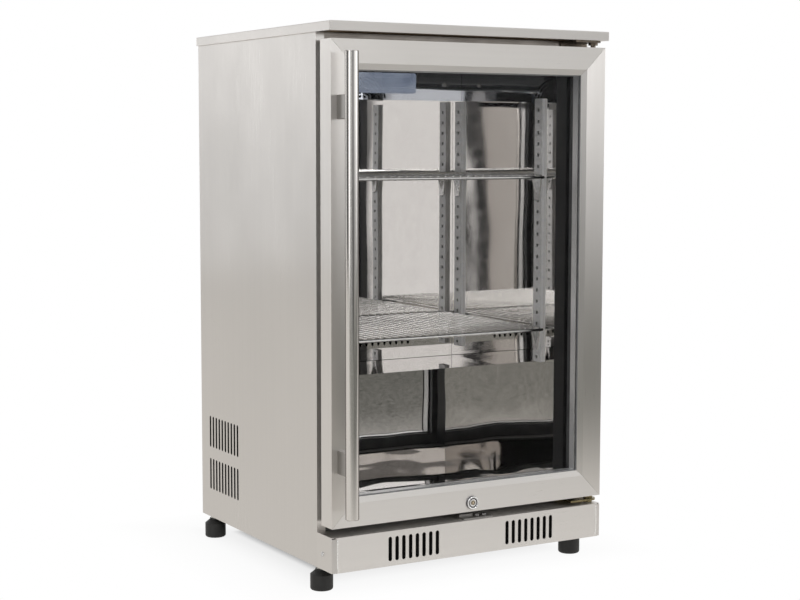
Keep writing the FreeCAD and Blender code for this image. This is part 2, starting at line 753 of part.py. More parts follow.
def compressor():
    """Sealed compressor: a domed pot on a bolted foot plate."""
    pot = rod(V(COMP_X, COMP_Y, COMP_LOW), Z_AXIS, COMP_TOP - COMP_LOW, COMP_R)
    rims = [e for e in pot.Edges if abs(e.Length - 2 * math.pi * COMP_R) < 0.1]
    pot = pot.makeFillet(26, rims)
    seam = rod(V(COMP_X, COMP_Y, 140), Z_AXIS, 5, COMP_R + 2)
    plate = box(COMP_X - 82, COMP_X + 82, COMP_Y - 60, COMP_Y + 60, COMP_LOW - 3, COMP_LOW + 1)
    saddle = rod(V(COMP_X, COMP_Y, COMP_LOW), Z_AXIS, 12, COMP_R - 22)
    body = join([pot, seam, plate, saddle])
    holes = [rod(V(x, y, COMP_LOW - 9), Z_AXIS, 20, 5) for x, y in grommet_places()]
    return body.cut(Part.makeCompound(holes))


def grommet_places():
    """Centres of the four compressor mounts."""
    return [(COMP_X + sx * 70, COMP_Y + sy * 48) for sx in (-1, 1) for sy in (-1, 1)]


def compressor_grommets():
    """Four rubber mounts between the compressor's foot plate and the base tray."""
    mounts = []
    for x, y in grommet_places():
        foot = rod(V(x, y, TRAY_TOP), Z_AXIS, COMP_LOW - 3 - TRAY_TOP, 11)
        neck = rod(V(x, y, COMP_LOW - 4), Z_AXIS, 7, 5)
        cap = rod(V(x, y, COMP_LOW + 1), Z_AXIS, 4, 8)
        mounts.append(join([foot, neck, cap]))
    return Part.makeCompound(mounts)


def condenser_coil():
    """Finned condenser just inside the left-hand vents."""
    return finned_coil(-232, -196, 315, 455, 74, 226, 16, 6, False)


def condenser_fan_frame():
    """Square shroud of the condenser fan, with struts and a motor in the middle."""
    plate_x = FAN_X - 14
    half = 72.0
    plate = box(plate_x, plate_x + 2, FAN_Y - half, FAN_Y + half, FAN_Z - half, FAN_Z + half)
    hole = rod(V(plate_x - 1, FAN_Y, FAN_Z), X_AXIS, 5, FAN_R + 3)
    hood = rod(V(plate_x, FAN_Y, FAN_Z), X_AXIS, 16, FAN_R + 5).cut(
        rod(V(plate_x - 1, FAN_Y, FAN_Z), X_AXIS, 18, FAN_R + 3))
    motor_x = FAN_X + 14
    motor = rod(V(motor_x, FAN_Y, FAN_Z), X_AXIS, 40, 24)
    arms = []
    for side in (-1, 1):
        y = FAN_Y + side * (FAN_R + 4)
        arms.append(box(plate_x, motor_x + 8, y - 2, y + 2, FAN_Z - 6, FAN_Z + 6))
    cross = box(motor_x + 5, motor_x + 8, FAN_Y - FAN_R - 6, FAN_Y + FAN_R + 6,
                FAN_Z - 6, FAN_Z + 6)
    legs = []
    for side in (-1, 1):
        y = FAN_Y + side * 50
        legs.append(box(plate_x, plate_x + 26, y - 8, y + 8, TRAY_TOP, TRAY_TOP + 2))
        legs.append(box(plate_x, plate_x + 2, y - 8, y + 8, TRAY_TOP, FAN_Z - half + 1))
    bore = rod(V(motor_x - 1, FAN_Y, FAN_Z), X_AXIS, 26, SHAFT_R + RUNNING)
    return join([plate.cut(hole), hood, motor, cross] + arms + legs).cut(bore)


def condenser_fan_rotor():
    """Five-bladed fan on the motor's shaft."""
    hub = rod(V(FAN_X - 8, FAN_Y, FAN_Z), X_AXIS, 18, 16)
    shaft = rod(V(FAN_X + 9, FAN_Y, FAN_Z), X_AXIS, 26, SHAFT_R)
    parts = [hub, shaft]
    for i in range(5):
        blade = box(-0.9, 0.9, -19, 19, 14, FAN_R)
        blade.rotate(V(0, 0, 0), Z_AXIS, 62)
        blade = blade.common(rod(V(-12, 0, 0), X_AXIS, 24, FAN_R - 1))
        blade.rotate(V(0, 0, 0), X_AXIS, 72 * i)
        blade.translate(V(FAN_X, FAN_Y, FAN_Z))
        parts.append(blade)
    return join(parts)


def drip_tray():
    """Shallow tray on top of the compressor, where defrost water dries off."""
    outer = box(COMP_X - 80, COMP_X + 80, COMP_Y - 55, COMP_Y + 55, COMP_TOP, COMP_TOP + 18)
    inner = box(COMP_X - 78, COMP_X + 78, COMP_Y - 53, COMP_Y + 53, COMP_TOP + 2, COMP_TOP + 19)
    return outer.cut(inner)


def pipework():
    """Copper lines of the machine compartment and the filter drier, end to end."""
    bend = 14.0
    discharge = pipe([(COMP_X - COMP_R + 8, 330, 100), (-20, 318, 100), (-20, 304, 100),
                      (-205, 304, 100)], PIPE_R, 6.0)
    suction = pipe([(COMP_X + 20, COMP_Y - COMP_R + 6, 170), (COMP_X + 20, 298, 170),
                    (COMP_X + 20, 298, 252)], PIPE_R, bend)
    liquid = pipe([(-214, 466, 214), (-150, 466, 214), (-150, 466, 120)], PIPE_R, bend)
    drier = join([rod(V(-150, 466, 70), Z_AXIS, 50, 8),
                  rod(V(-150, 466, 58), Z_AXIS, 13, PIPE_R)])
    pieces = [discharge, suction, liquid, drier]
    keep_out = Part.makeCompound([compressor(), condenser_coil()])
    return Part.makeCompound([piece.cut(keep_out) for piece in pieces])


def terminal_box():
    """Cover of the compressor's terminals and starting relay."""
    x0 = COMP_X + COMP_R - 10
    case = box(x0, x0 + 44, COMP_Y - 26, COMP_Y + 26, 92, 138)
    outer = [e for e in case.Edges if e.CenterOfMass.x > x0 + 43]
    return case.makeFillet(4, outer).cut(compressor())


def cord_inlet():
    """Snap-in cord gland in the rear grille."""
    flange = rod(V(INLET_X, REAR_PLANE + SHEET, INLET_Z), Y_AXIS, 2, 12)
    neck = rod(V(INLET_X, REAR_PLANE - 9, INLET_Z), Y_AXIS, 11, INLET_R - 0.1)
    hole = rod(V(INLET_X, REAR_PLANE - 12, INLET_Z), Y_AXIS, 20, 4)
    return join([flange, neck]).cut(hole)


def foot_bores():
    """Clearance for the four foot studs."""
    bores = []
    for x in (-FOOT_X, FOOT_X):
        for y in FOOT_Y:
            bores.append(rod(V(x, y, BODY_BOTTOM - 5), Z_AXIS, STUD_TOP - BODY_BOTTOM + 8,
                             STUD_R + RUNNING))
    return Part.makeCompound(bores)


def foot(x, y):
    """Levelling foot: a rubber cup with a sloped shoulder under a steel stud and its nut."""
    cup = rod(V(x, y, 0), Z_AXIS, FOOT_SIDE_H, FOOT_R)
    low = [e for e in cup.Edges if e.CenterOfMass.z < 0.01]
    cup = cup.makeFillet(3.5, low)
    slope = FOOT_SHOULDER_H - FOOT_SIDE_H
    shoulder = Part.makeCone(FOOT_R, FOOT_SHOULDER_R, slope, V(x, y, FOOT_SIDE_H))
    boss = rod(V(x, y, FOOT_SHOULDER_H), Z_AXIS, FOOT_CUP_H - FOOT_SHOULDER_H, FOOT_BOSS_R)
    nut = hexagon(V(x, y, FOOT_CUP_H), Z_AXIS, 15, FOOT_NUT_H)
    stud = rod(V(x, y, FOOT_CUP_H), Z_AXIS, STUD_TOP - FOOT_CUP_H, STUD_R)
    return Part.makeCompound([join([cup, shoulder, boss]), join([nut, stud])])


def door_member(upright, far):
    """Stile or rail: a folded section, cut to 45 degrees at both ends.

    The section runs from the door's outer edge (0) to the glass opening (FRAME_W).
    """
    flat = FRAME_W - LIP_W
    inner = DOOR_FRONT + FRAME_T
    section = [
        (0, DOOR_BACK - 1), (0, DOOR_FRONT), (flat, DOOR_FRONT), (FRAME_W, DOOR_FRONT + LIP_DROP),
        (FRAME_W, inner + LIP_DROP), (flat - 0.3, inner), (FRAME_T, inner),
        (FRAME_T, DOOR_BACK - 1 - FRAME_T), (12, DOOR_BACK - 1 - FRAME_T), (12, DOOR_BACK - 1),
    ]
    gap = MITRE_GAP
    if upright:
        edge = BODY_X if far else -BODY_X
        step = -1 if far else 1
        bar = prism([(edge + step * u, y, DOOR_BOTTOM) for u, y in section],
                    V(0, 0, DOOR_TOP - DOOR_BOTTOM))
        opening = edge + step * FRAME_W
        trapezoid = [(edge, DOOR_BOTTOM + gap), (edge, DOOR_TOP - gap),
                     (opening, OPEN_HIGH - gap), (opening, OPEN_LOW + gap)]
    else:
        edge = DOOR_TOP if far else DOOR_BOTTOM
        step = -1 if far else 1
        bar = prism([(-BODY_X, y, edge + step * u) for u, y in section], V(2 * BODY_X, 0, 0))
        opening = edge + step * FRAME_W
        trapezoid = [(gap - BODY_X, edge), (BODY_X - gap, edge),
                     (OPEN_X - gap, opening), (gap - OPEN_X, opening)]
    mitres = prism([(x, DOOR_FRONT - 1, z) for x, z in trapezoid], V(0, DOOR_BACK, 0))
    return bar.common(mitres)


def pivot_bores():
    """Holes for the hinge bushes in the door's lower and upper edges."""
    depth = 14.0
    low = rod(V(HINGE_X, HINGE_Y, DOOR_BOTTOM - 1), Z_AXIS, depth + 1, BUSH_R)
    high = rod(V(HINGE_X, HINGE_Y, DOOR_TOP - depth), Z_AXIS, depth + 1, BUSH_R)
    return Part.makeCompound([low, high])


def hinge_bushes():
    """Plastic bushes in the door that turn on the hinge pins."""
    low = rod(V(HINGE_X, HINGE_Y, DOOR_BOTTOM), Z_AXIS, 14, BUSH_R)
    low = low.cut(rod(V(HINGE_X, HINGE_Y, DOOR_BOTTOM - 1), Z_AXIS, 14.5, PIN_R + RUNNING))
    high = rod(V(HINGE_X, HINGE_Y, DOOR_TOP - 14), Z_AXIS, 14, BUSH_R)
    high = high.cut(rod(V(HINGE_X, HINGE_Y, DOOR_TOP - 13.5), Z_AXIS, 14.5, PIN_R + RUNNING))
    return Part.makeCompound([low, high])


def lock_bores():
    """Room for the lock: its barrel, its nut and the quarter turn of its cam."""
    barrel = rod(V(0, DOOR_FRONT - 1, LOCK_Z), Y_AXIS, CAM_Y - DOOR_FRONT, LOCK_BARREL_R)
    nut = rod(V(0, 14, LOCK_Z), Y_AXIS, 10, 12)
    pocket = box(-11, 31, 24, 31, DOOR_BOTTOM + FRAME_T, LOCK_Z + 10)
    exit_slot = box(-9, 27, CAM_Y - 1.5, CAM_Y + CAM_T + 1.5, DOOR_BOTTOM - 1, DOOR_BOTTOM + 3)
    return Part.makeCompound([barrel, nut, pocket, exit_slot])


def lock_barrel():
    """Chromed lock body with its front ring, and the nut that clamps it in the rail."""
    ring_front = rod(V(0, DOOR_FRONT - 3, LOCK_Z), Y_AXIS, 3, LOCK_RING_R)
    edge = [e for e in ring_front.Edges if e.CenterOfMass.y < DOOR_FRONT - 2.9]
    ring_front = ring_front.makeChamfer(1.2, edge)
    tube = rod(V(0, DOOR_FRONT - 1, LOCK_Z), Y_AXIS, CAM_Y - DOOR_FRONT, LOCK_BARREL_R)
    bore = rod(V(0, 0, LOCK_Z), Y_AXIS, 40, LOCK_CORE_R + RUNNING)
    body = join([ring_front, tube]).cut(bore)
    nut = hexagon(V(0, 15, LOCK_Z), Y_AXIS, 20, 4)
    nut = nut.cut(rod(V(0, 0, LOCK_Z), Y_AXIS, 40, LOCK_BARREL_R))
    return Part.makeCompound([body, nut])


def lock_core():
    """Key plug with its keyway, and the cam on its inner end."""
    front = DOOR_FRONT - 2.6
    plug = rod(V(0, front, LOCK_Z), Y_AXIS, CAM_Y - front, LOCK_CORE_R)
    keyway = box(-3.6, 3.6, front - 1, front + 8, LOCK_Z - 0.7, LOCK_Z + 0.7)
    arm = box(0, CAM_REACH - 6, CAM_Y, CAM_Y + CAM_T, LOCK_Z - 6, LOCK_Z + 6)
    tip = rod(V(CAM_REACH - 6, CAM_Y, LOCK_Z), Y_AXIS, CAM_T, 6)
    boss = rod(V(0, CAM_Y, LOCK_Z), Y_AXIS, CAM_T, 7)
    return join([plug.cut(keyway), arm, tip, boss])


def handle_bores(radius, y0, y1):
    """Straight holes for the handle bolts."""
    holes = [rod(V(HANDLE_X, y0, z), Y_AXIS, y1 - y0, radius) for z in POST_Z]
    return Part.makeCompound(holes)


def door_inner_frame():
    """Plastic ring that fills the folded frame and holds the glass and the seal."""
    lap_x = OPEN_X + GLASS_LAP
    lap_low = OPEN_LOW - GLASS_LAP
    lap_high = OPEN_HIGH + GLASS_LAP
    edge = FRAME_T + 0.1
    core = box(edge - BODY_X, BODY_X - edge, DOOR_FRONT + 2.6, DOOR_BACK - 1 - FRAME_T,
               DOOR_BOTTOM + edge, DOOR_TOP - edge)
    core = core.cut(box(-lap_x, lap_x, 0, DOOR_BACK, lap_low, lap_high))
    inset = 12.1
    rim = box(inset - BODY_X, BODY_X - inset, GLASS_BACK, DOOR_BACK,
              DOOR_BOTTOM + inset, DOOR_TOP - inset)
    rim = rim.cut(box(-OPEN_X - 1, OPEN_X + 1, 0, DOOR_BACK + 1, OPEN_LOW - 1, OPEN_HIGH + 1))
    frame = join([core, rim]).cut(pivot_bores()).cut(lock_bores())
    return frame.cut(handle_bores(5.5, DOOR_FRONT, 16)).cut(handle_bores(3.0, 0, 18))


def glass(y0):
    """One pane of the door's sealed double glazing."""
    half = OPEN_X + GLASS_LAP - 0.1
    return box(-half, half, y0, y0 + GLASS_T, OPEN_LOW - GLASS_LAP + 0.1,
               OPEN_HIGH + GLASS_LAP - 0.1)


def glass_spacer():
    """Aluminium spacer between the two panes."""
    return ring(OPEN_X + GLASS_LAP - 0.1, OPEN_LOW - GLASS_LAP + 0.1, OPEN_HIGH + GLASS_LAP - 0.1,
                SPACER_W, GLASS_Y + GLASS_T, GLASS_Y + GLASS_T + SPACER_T)


def door_gasket():
    """Soft magnetic seal: a base, a narrow bellows and a wide head."""
    half = BODY_X - 8.0
    low = DOOR_BOTTOM + 8.0
    high = DOOR_TOP - 8.0
    head_w, bellows_w, base_w = 17.0, 9.0, 13.0
    parts = [ring(half, low, high, head_w, 47.5, BODY_FRONT - 0.6)]
    for width, y0, y1 in ((bellows_w, 42.0, 47.6), (base_w, DOOR_BACK, 42.1)):
        off = (head_w - width) / 2 + (0.0 if width == bellows_w else 1.0)
        parts.append(ring(half - off, low + off, high - off, width, y0, y1))
    return join(parts)


def handle_bar():
    """Round pull with flat, slightly broken ends."""
    bar = rod(V(HANDLE_X, HANDLE_Y, HANDLE_LOW), Z_AXIS, HANDLE_HIGH - HANDLE_LOW, HANDLE_R)
    ends = [e for e in bar.Edges if abs(e.Length - 2 * math.pi * HANDLE_R) < 0.1]
    return bar.makeChamfer(0.8, ends)


def handle_posts():
    """Two blocks that hold the pull clear of the door, drilled for their bolts."""
    posts = []
    for z in POST_Z:
        post = box(HANDLE_X - POST_W / 2, HANDLE_X + POST_W / 2, HANDLE_Y, DOOR_FRONT,
                   z - POST_H / 2, z + POST_H / 2)
        uprights = [e for e in post.Edges if abs(e.Length - (DOOR_FRONT - HANDLE_Y)) < 0.1]
        posts.append(post.makeChamfer(0.8, uprights))
    pull = rod(V(HANDLE_X, HANDLE_Y, HANDLE_LOW), Z_AXIS, HANDLE_HIGH - HANDLE_LOW, HANDLE_R)
    return Part.makeCompound(posts).cut(pull).cut(handle_bores(2.5, -15, DOOR_FRONT + 1))


def handle_bolts():
    """Bolts through the door's face into the handle posts."""
    bolts = []
    for z in POST_Z:
        seat = DOOR_FRONT + FRAME_T
        shank = rod(V(HANDLE_X, -14, z), Y_AXIS, seat + 15, 2.5)
        head = hexagon(V(HANDLE_X, seat, z), Y_AXIS, 8, 4)
        bolts.append(join([shank, head]))
    return Part.makeCompound(bolts)


def save(name, shape):
    """Move a drawn piece to the cabinet's origin and write it."""
    shape = shape.copy()
    shape.translate(V(0, -ORIGIN_Y, 0))
    shape.exportStep("parts/" + name + ".step")


def main():
    """Build every piece and write one file for each."""
    os.makedirs("parts", exist_ok=True)
    save("worktop", worktop())
    save("worktop_board", worktop_board())
    left = side_panel()
    save("side_panel_left", left)
    save("side_panel_right", mirrored(left))
    for piece in (rear_panel, rear_grille, base_tray, front_frame, breaker_frame, insulation,
                  liner, back_panel, discharge_hood, evaporator_coil, blower_housing,
                  blower_rotor, light_bar, thermostat_box, thermostat_knob, shelf_clips,
                  kick_plate, panel_screws, hinge_bracket_top, hinge_bracket_bottom,
                  lock_keeper, machine_partition, compressor, compressor_grommets,
                  condenser_coil, condenser_fan_frame, condenser_fan_rotor, drip_tray,
                  pipework, terminal_box, cord_inlet, door_inner_frame, glass_spacer,
                  door_gasket, hinge_bushes, handle_bar, handle_posts, handle_bolts,
                  lock_barrel, lock_core):
        save(piece.__name__, piece())
    for place in PILASTER_Y:
        strip = pilaster(place)
        save("pilaster_" + place + "_right", strip)
        save("pilaster_" + place + "_left", mirrored(strip))
    rack = shelf()
    for level, z in SHELF_Z.items():
        save("shelf_" + level, rack.translated(V(0, 0, z)))
    for side, x in (("left", -FOOT_X), ("right", FOOT_X)):
        for place, y in zip(("front", "rear"), FOOT_Y):
            save("foot_" + place + "_" + side, foot(x, y))
    hollow = lock_bores()
    face_holes = handle_bores(2.5, DOOR_FRONT - 1, DOOR_FRONT + 3)
    save("door_stile_left", door_member(True, False).cut(face_holes))
    save("door_stile_right", door_member(True, True).cut(pivot_bores()))
    save("door_rail_top", door_member(False, True).cut(pivot_bores()))
    save("door_rail_bottom", door_member(False, False).cut(hollow).cut(pivot_bores()))
    save("glass_outer", glass(GLASS_Y))
    save("glass_inner", glass(GLASS_Y + GLASS_T + SPACER_T))


main()
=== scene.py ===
import math

import bmesh
import bpy
from mathutils import Matrix, Vector


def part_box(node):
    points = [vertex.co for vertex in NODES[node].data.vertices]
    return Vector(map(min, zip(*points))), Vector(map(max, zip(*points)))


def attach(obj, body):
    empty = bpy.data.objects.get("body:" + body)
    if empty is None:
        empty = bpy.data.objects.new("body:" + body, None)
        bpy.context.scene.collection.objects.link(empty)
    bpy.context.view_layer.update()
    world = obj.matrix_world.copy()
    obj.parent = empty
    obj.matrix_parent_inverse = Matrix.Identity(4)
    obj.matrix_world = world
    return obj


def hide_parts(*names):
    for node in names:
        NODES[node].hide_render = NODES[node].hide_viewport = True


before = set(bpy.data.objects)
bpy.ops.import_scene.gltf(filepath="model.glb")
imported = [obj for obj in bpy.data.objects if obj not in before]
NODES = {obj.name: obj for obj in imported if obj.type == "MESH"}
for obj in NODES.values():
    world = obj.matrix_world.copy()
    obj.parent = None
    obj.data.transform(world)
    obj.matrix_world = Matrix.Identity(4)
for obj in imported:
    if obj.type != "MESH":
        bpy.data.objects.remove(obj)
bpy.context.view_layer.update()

MM = 0.001

# Heights and places, in metres.
VENT_START_Y = 0.0985         # the side vents' filters reach from here
VENT_END_Y = 0.2345           # to here,
VENT_LOW_Z = 0.084            # and from this height
VENT_HIGH_Z = 0.217           # to this one
CREASES_FULL_Z = 0.135        # the liner is creased below this
CREASES_END_Z = 0.30          # and smooth above this
BARE_EDGE_Z = 0.824           # the front frame is bare steel above this, and near-black painted shade below it
FOOT_CUP_TOP = 0.0326         # a foot is rubber below this and zinc-plated steel above

# Sizes in millimetres, shares and counts.
GLASS_LAP = 5.9               # glass hidden behind the door's lip
GLAZING_OFF_GLASS = 0.02
FILM_SIZE = (98.0, 30.0)
FILM_CORNER = 3.0
FILM_GAP = 3.5                # from the lip to the film
FILM_OFF_GLASS = 0.08
FILM_THICK = 0.06
FILM_LIFT = 0.9               # how far its loose corner stands off
FILM_LIFT_FROM = 0.90         # share of the film's width where the corner starts to lift
FOLD_FROM_END = 8.5           # from the kick plate's end to the middle of its rounded fold
FOLD_BACK = 0.25              # the fold's flat side, behind the kick plate's front face
FOLD_LOW_GAP = 1.5            # from the kick plate's lower edge to the fold
FOLD_HIGH_GAP = 2.0
FOLD_HALF_WIDTH = 1.15
FOLD_DEPTH = 1.25
FOLD_SWAY = 2.2               # how far the fold bends inwards at its foot,
FOLD_SWAY_REACH = 0.10        # and the share of its height over which that fades
FOLD_END_WIDTH = 0.2          # share of its width at both ends
FOLD_WIDENING = 10.0          # how fast it gets its full width, per share of its height
LOCK_OUTER_R = 8.9            # middle of the ring on the barrel
LOCK_OUTER_WIRE = 1.25        # half that ring's width
LOCK_INNER_R = 4.9
LOCK_INNER_WIRE = 0.95
LOCK_WIRE_FLAT = 0.8          # the rings' height as a share of their width
LOCK_PIN_LOBE = 0.26          # how deep the pin's three lobes are, as a share of its reach
KICK_FILTER_X = (-153.0, 58.5)    # left end of each kick filter
KICK_FILTER_INSET = 4.0       # from the kick plate's lower and upper edge
KICK_FILTER_BACK = 2.2        # behind the kick plate's front face
KICK_PLEATS = 27
KICK_PLEAT = 3.5
VENT_FILTER_BACK = 1.4        # behind the side panel's outer face
VENT_PLEATS = 34
VENT_PLEAT = 4.0
PLEAT_DEPTH = 1.4
CLOTH_THICK = 0.4

# Outlines in millimetres: the door seal's as (inset, depth) from its front, the glazing seal's
# as (inset, depth) from the glass, and the lock pin's as (reach, height) from foot to top.
GASKET_OUTLINE = [
    (3.0, 0.0), (3.0, 1.6), (5.2, 2.6), (3.2, 4.2), (5.4, 5.8), (3.6, 7.0), (1.0, 7.4),
    (0.1, 8.6), (0.4, 9.9), (8.0, 10.4), (16.6, 9.9), (16.9, 8.6), (16.0, 7.4), (12.6, 7.0),
    (11.2, 5.8), (13.2, 4.2), (11.2, 2.6), (14.6, 1.6), (14.6, 0.0),
]
GLAZING_OUTLINE = [(-0.3, -0.8), (0.6, -0.9), (1.2, -0.4), (1.3, 0.0), (-0.3, 0.0)]
LOCK_PIN_OUTLINE = [(1.9, -0.2), (1.9, 0.35), (1.6, 0.6), (0.5, 0.65)]

WHITE = (1.0, 1.0, 1.0)
STEEL = (0.775, 0.748, 0.718)
# Grain axes, tipped a little so that the faces that cut across the grain have a direction too.
GRAIN_DIRECTION = {"x": (1.0, 0.0, 0.02), "y": (0.02, 1.0, 0.0), "z": (0.0, 0.02, 1.0)}


# ---------------------------------------------------------------- nodes

class Graph:
    """Nodes of one material or world, and short ways to add to them."""

    def __init__(self, tree):
        self.nodes = tree.nodes
        self.links = tree.links
        self.nodes.clear()

    def put(self, socket, value):
        """Link a socket to another one, or give it a number or a colour of three numbers."""
        if isinstance(value, bpy.types.NodeSocket):
            self.links.new(value, socket)
        elif isinstance(value, tuple):
            socket.default_value = (*value, 1.0)
        else:
            socket.default_value = value

    def math(self, kind, first, second=0.0, third=0.0):
        """Result of a Math node; each input is a socket or a number."""
        node = self.nodes.new("ShaderNodeMath")
        node.operation = kind
        for socket, value in zip(node.inputs, (first, second, third)):
            self.put(socket, value)
        return node.outputs[0]

    def add(self, first, second, weight):
        """first + weight * second."""
        return self.math("MULTIPLY_ADD", second, weight, first)

    def parts(self, vector):
        """The X, Y and Z of a vector."""
        node = self.nodes.new("ShaderNodeSeparateXYZ")
        self.links.new(vector, node.inputs[0])
        return node.outputs

    def spread(self, value, low, high, start=0.3, end=0.7):
        """Remap a signal between start and end to a range."""
        node = self.nodes.new("ShaderNodeMapRange")
        node.inputs["From Min"].default_value = start
        node.inputs["From Max"].default_value = end
        node.inputs["To Min"].default_value = low
        node.inputs["To Max"].default_value = high
        self.links.new(value, node.inputs["Value"])
        return node.outputs["Result"]

    def ramp(self, value, stops):
        """Colour by a 0..1 signal, from (position, grey or colour) pairs."""
        node = self.nodes.new("ShaderNodeValToRGB")
        elements = node.color_ramp.elements
        while len(elements) < len(stops):
            elements.new(0.5)
        for element, (place, value_there) in zip(elements, stops):
            grey = not isinstance(value_there, tuple)
            colour = (value_there, value_there, value_there) if grey else value_there
            element.position = place
            element.color = (*colour, 1.0)
        self.links.new(value, node.inputs[0])
        return node.outputs["Color"]

    def tint(self, value, dark, light, start=0.3, end=0.7):
        """Colour between dark and light, following a 0..1 signal."""
        return self.ramp(value, [(start, dark), (end, light)])

    def blend(self, factor, first, second, kind="MIX"):
        """From first to second by factor; each colour is a socket or three numbers."""
        node = self.nodes.new("ShaderNodeMix")
        node.data_type = "RGBA"
        node.blend_type = kind
        for name, value in (("Factor", factor), ("A", first), ("B", second)):
            self.put(node.inputs[name], value)
        return node.outputs["Result"]

    def plain(self, kind, colour):
        """Plain shader of one kind and colour, such as Emission."""
        node = self.nodes.new("ShaderNode" + kind)
        self.put(node.inputs["Color"], colour)
        return node.outputs[0]

    def mix_shaders(self, factor, first, second):
        """From one shader to another by factor."""
        node = self.nodes.new("ShaderNodeMixShader")
        for socket, value in zip(node.inputs, (factor, first, second)):
            self.put(socket, value)
        return node.outputs[0]


class Shader(Graph):
    """A material under construction: one Principled shader and short ways to feed it."""

    def __init__(self, name):
        self.material = bpy.data.materials.new(name)
        self.material.use_nodes = True
        super().__init__(self.material.node_tree)
        self.out = self.nodes.new("ShaderNodeOutputMaterial")
        self.bsdf = self.nodes.new("ShaderNodeBsdfPrincipled")
        self.coord = self.nodes.new("ShaderNodeTexCoord")
        self.show(self.bsdf.outputs[0])

    def show(self, shader):
        """Let a shader make the surface."""
        self.links.new(shader, self.out.inputs["Surface"])
        return self.material

    def noise(self, scale, detail=3.0, rough=0.55, shift=(0, 0, 0)):
        """Noise in object space; scale is (x, y, z) in cycles per metre."""
        place = self.nodes.new("ShaderNodeMapping")
        place.inputs["Scale"].default_value = scale
        place.inputs["Location"].default_value = shift
        self.links.new(self.coord.outputs["Object"], place.inputs["Vector"])
        texture = self.nodes.new("ShaderNodeTexNoise")
        texture.inputs["Scale"].default_value = 1.0
        texture.inputs["Detail"].default_value = detail
        texture.inputs["Roughness"].default_value = rough
        self.links.new(place.outputs["Vector"], texture.inputs["Vector"])
        return texture.outputs["Fac"]

    def cells(self, scale):
        """Flat cells of random value, for zinc spangle."""
        place = self.nodes.new("ShaderNodeMapping")
        place.inputs["Scale"].default_value = scale
        self.links.new(self.coord.outputs["Object"], place.inputs["Vector"])
        texture = self.nodes.new("ShaderNodeTexVoronoi")
        texture.inputs["Scale"].default_value = 1.0
        self.links.new(place.outputs["Vector"], texture.inputs["Vector"])
        split = self.nodes.new("ShaderNodeSeparateColor")
        self.links.new(texture.outputs["Color"], split.inputs[0])
        return split.outputs[0]

    def bump(self, value, distance, strength=1.0, under=None):
        """Relief of a given depth in metres, on top of another relief if there is one."""
        node = self.nodes.new("ShaderNodeBump")
        node.inputs["Distance"].default_value = distance
        node.inputs["Strength"].default_value = strength
        self.links.new(value, node.inputs["Height"])
        if under is not None:
            self.links.new(under, node.inputs["Normal"])
        return node.outputs["Normal"]

    def feed(self, **sockets):
        """Set or link the Principled shader's sockets, named with underscores for spaces."""
        for name, value in sockets.items():
            self.put(self.bsdf.inputs[name.replace("_", " ")], value)
        return self.material


# ---------------------------------------------------------------- camera and studio

CAMERA_AT = Vector((-1.3757, -2.3475, 0.6766))
CAMERA_YAW = 30.29
CAMERA_PITCH = -5.44
CAMERA_ROLL = 0.09
LENS = 74.8

FLOOR_REACH = 6.0
FLOOR_LEFT_END = -3.3         # the floor is shorter on the left, where white panels stand
SHADE_HALF_X = 0.18           # half the size of the painted shade under the cabinet,
SHADE_HALF_Y = 0.16
SHADE_MIDDLE_Y = 0.09         # its middle,
SHADE_ROUNDING = 0.12         # and how round its corners are
LAMPS = [
    # name, place, aim, size, power
    ("key_lamp", (-2.6, -2.2, 2.9), (0, 0, 0.5), (1.6, 1.6), 24.0),
    ("fill_lamp", (0.3, -3.0, 2.7), (0, 0, 0.4), (1.4, 1.0), 16.0),
]


def make_camera():
    """Camera at the height and angle from which the cabinet is usually shown."""
    data = bpy.data.cameras.new("camera")
    data.sensor_width = 36.0
    data.lens = LENS
    data.clip_start = 0.05
    data.clip_end = 60.0
    camera = bpy.data.objects.new("camera", data)
    bpy.context.scene.collection.objects.link(camera)
    turn = Matrix.Rotation(math.radians(-CAMERA_YAW), 4, "Z")
    tilt = Matrix.Rotation(math.radians(90 + CAMERA_PITCH), 4, "X")
    roll = Matrix.Rotation(math.radians(CAMERA_ROLL), 4, "Z")
    camera.matrix_world = Matrix.Translation(CAMERA_AT) @ turn @ tilt @ roll
    bpy.context.scene.camera = camera


# The studio by compass angle, in degrees from +Y towards +X: brightness, and how much of the
# change with height applies there.
STUDIO_WALLS = [
    (-180, 0.26, 1.0), (-163, 0.20, 1.0), (-153, 0.26, 1.0), (-141, 0.38, 1.0), (-131, 0.48, 1.0),
    (-123, 0.55, 0.6), (-117, 1.9, 0.3), (-104, 1.9, 0.3), (-100, 0.60, 0.5), (-88, 0.36, 0.5),
    (-80, 0.08, 0.5), (-52, 0.08, 0.5), (-46, 0.80, 0.8), (-38, 1.46, 1.0), (-31, 1.62, 1.0),
    (20, 1.50, 1.0), (60, 1.10, 1.0), (90, 0.60, 1.0), (105, 0.55, 1.0), (119, 0.65, 1.0),
    (123, 2.0, 0.8), (132, 1.85, 0.8), (136, 0.66, 1.0), (144, 0.78, 1.0), (150, 1.08, 1.0),
    (158, 0.92, 1.0), (166, 0.55, 1.0), (180, 0.26, 1.0),
]
# Panels and gaps that stand behind the camera, in a narrow part of the same circle.
PANELS_FROM = -153.0
PANELS_TO = -143.0
PANELS_TOP = 0.20             # sine of the height angle at which they end
STUDIO_PANELS = [
    (-153, 0.36), (-151.3, 0.30), (-151.1, 0.10), (-150.9, 0.55), (-150.6, 0.98), (-148.0, 1.0),
    (-147.4, 0.92), (-147.25, 0.04), (-146.75, 0.05), (-146.65, (0.50, 0.475, 0.45)),
    (-145.5, (0.55, 0.53, 0.505)), (-145.4, 0.03), (-145.05, 0.03), (-144.95, 0.70),
    (-144.2, 0.62), (-143, 0.42),
]
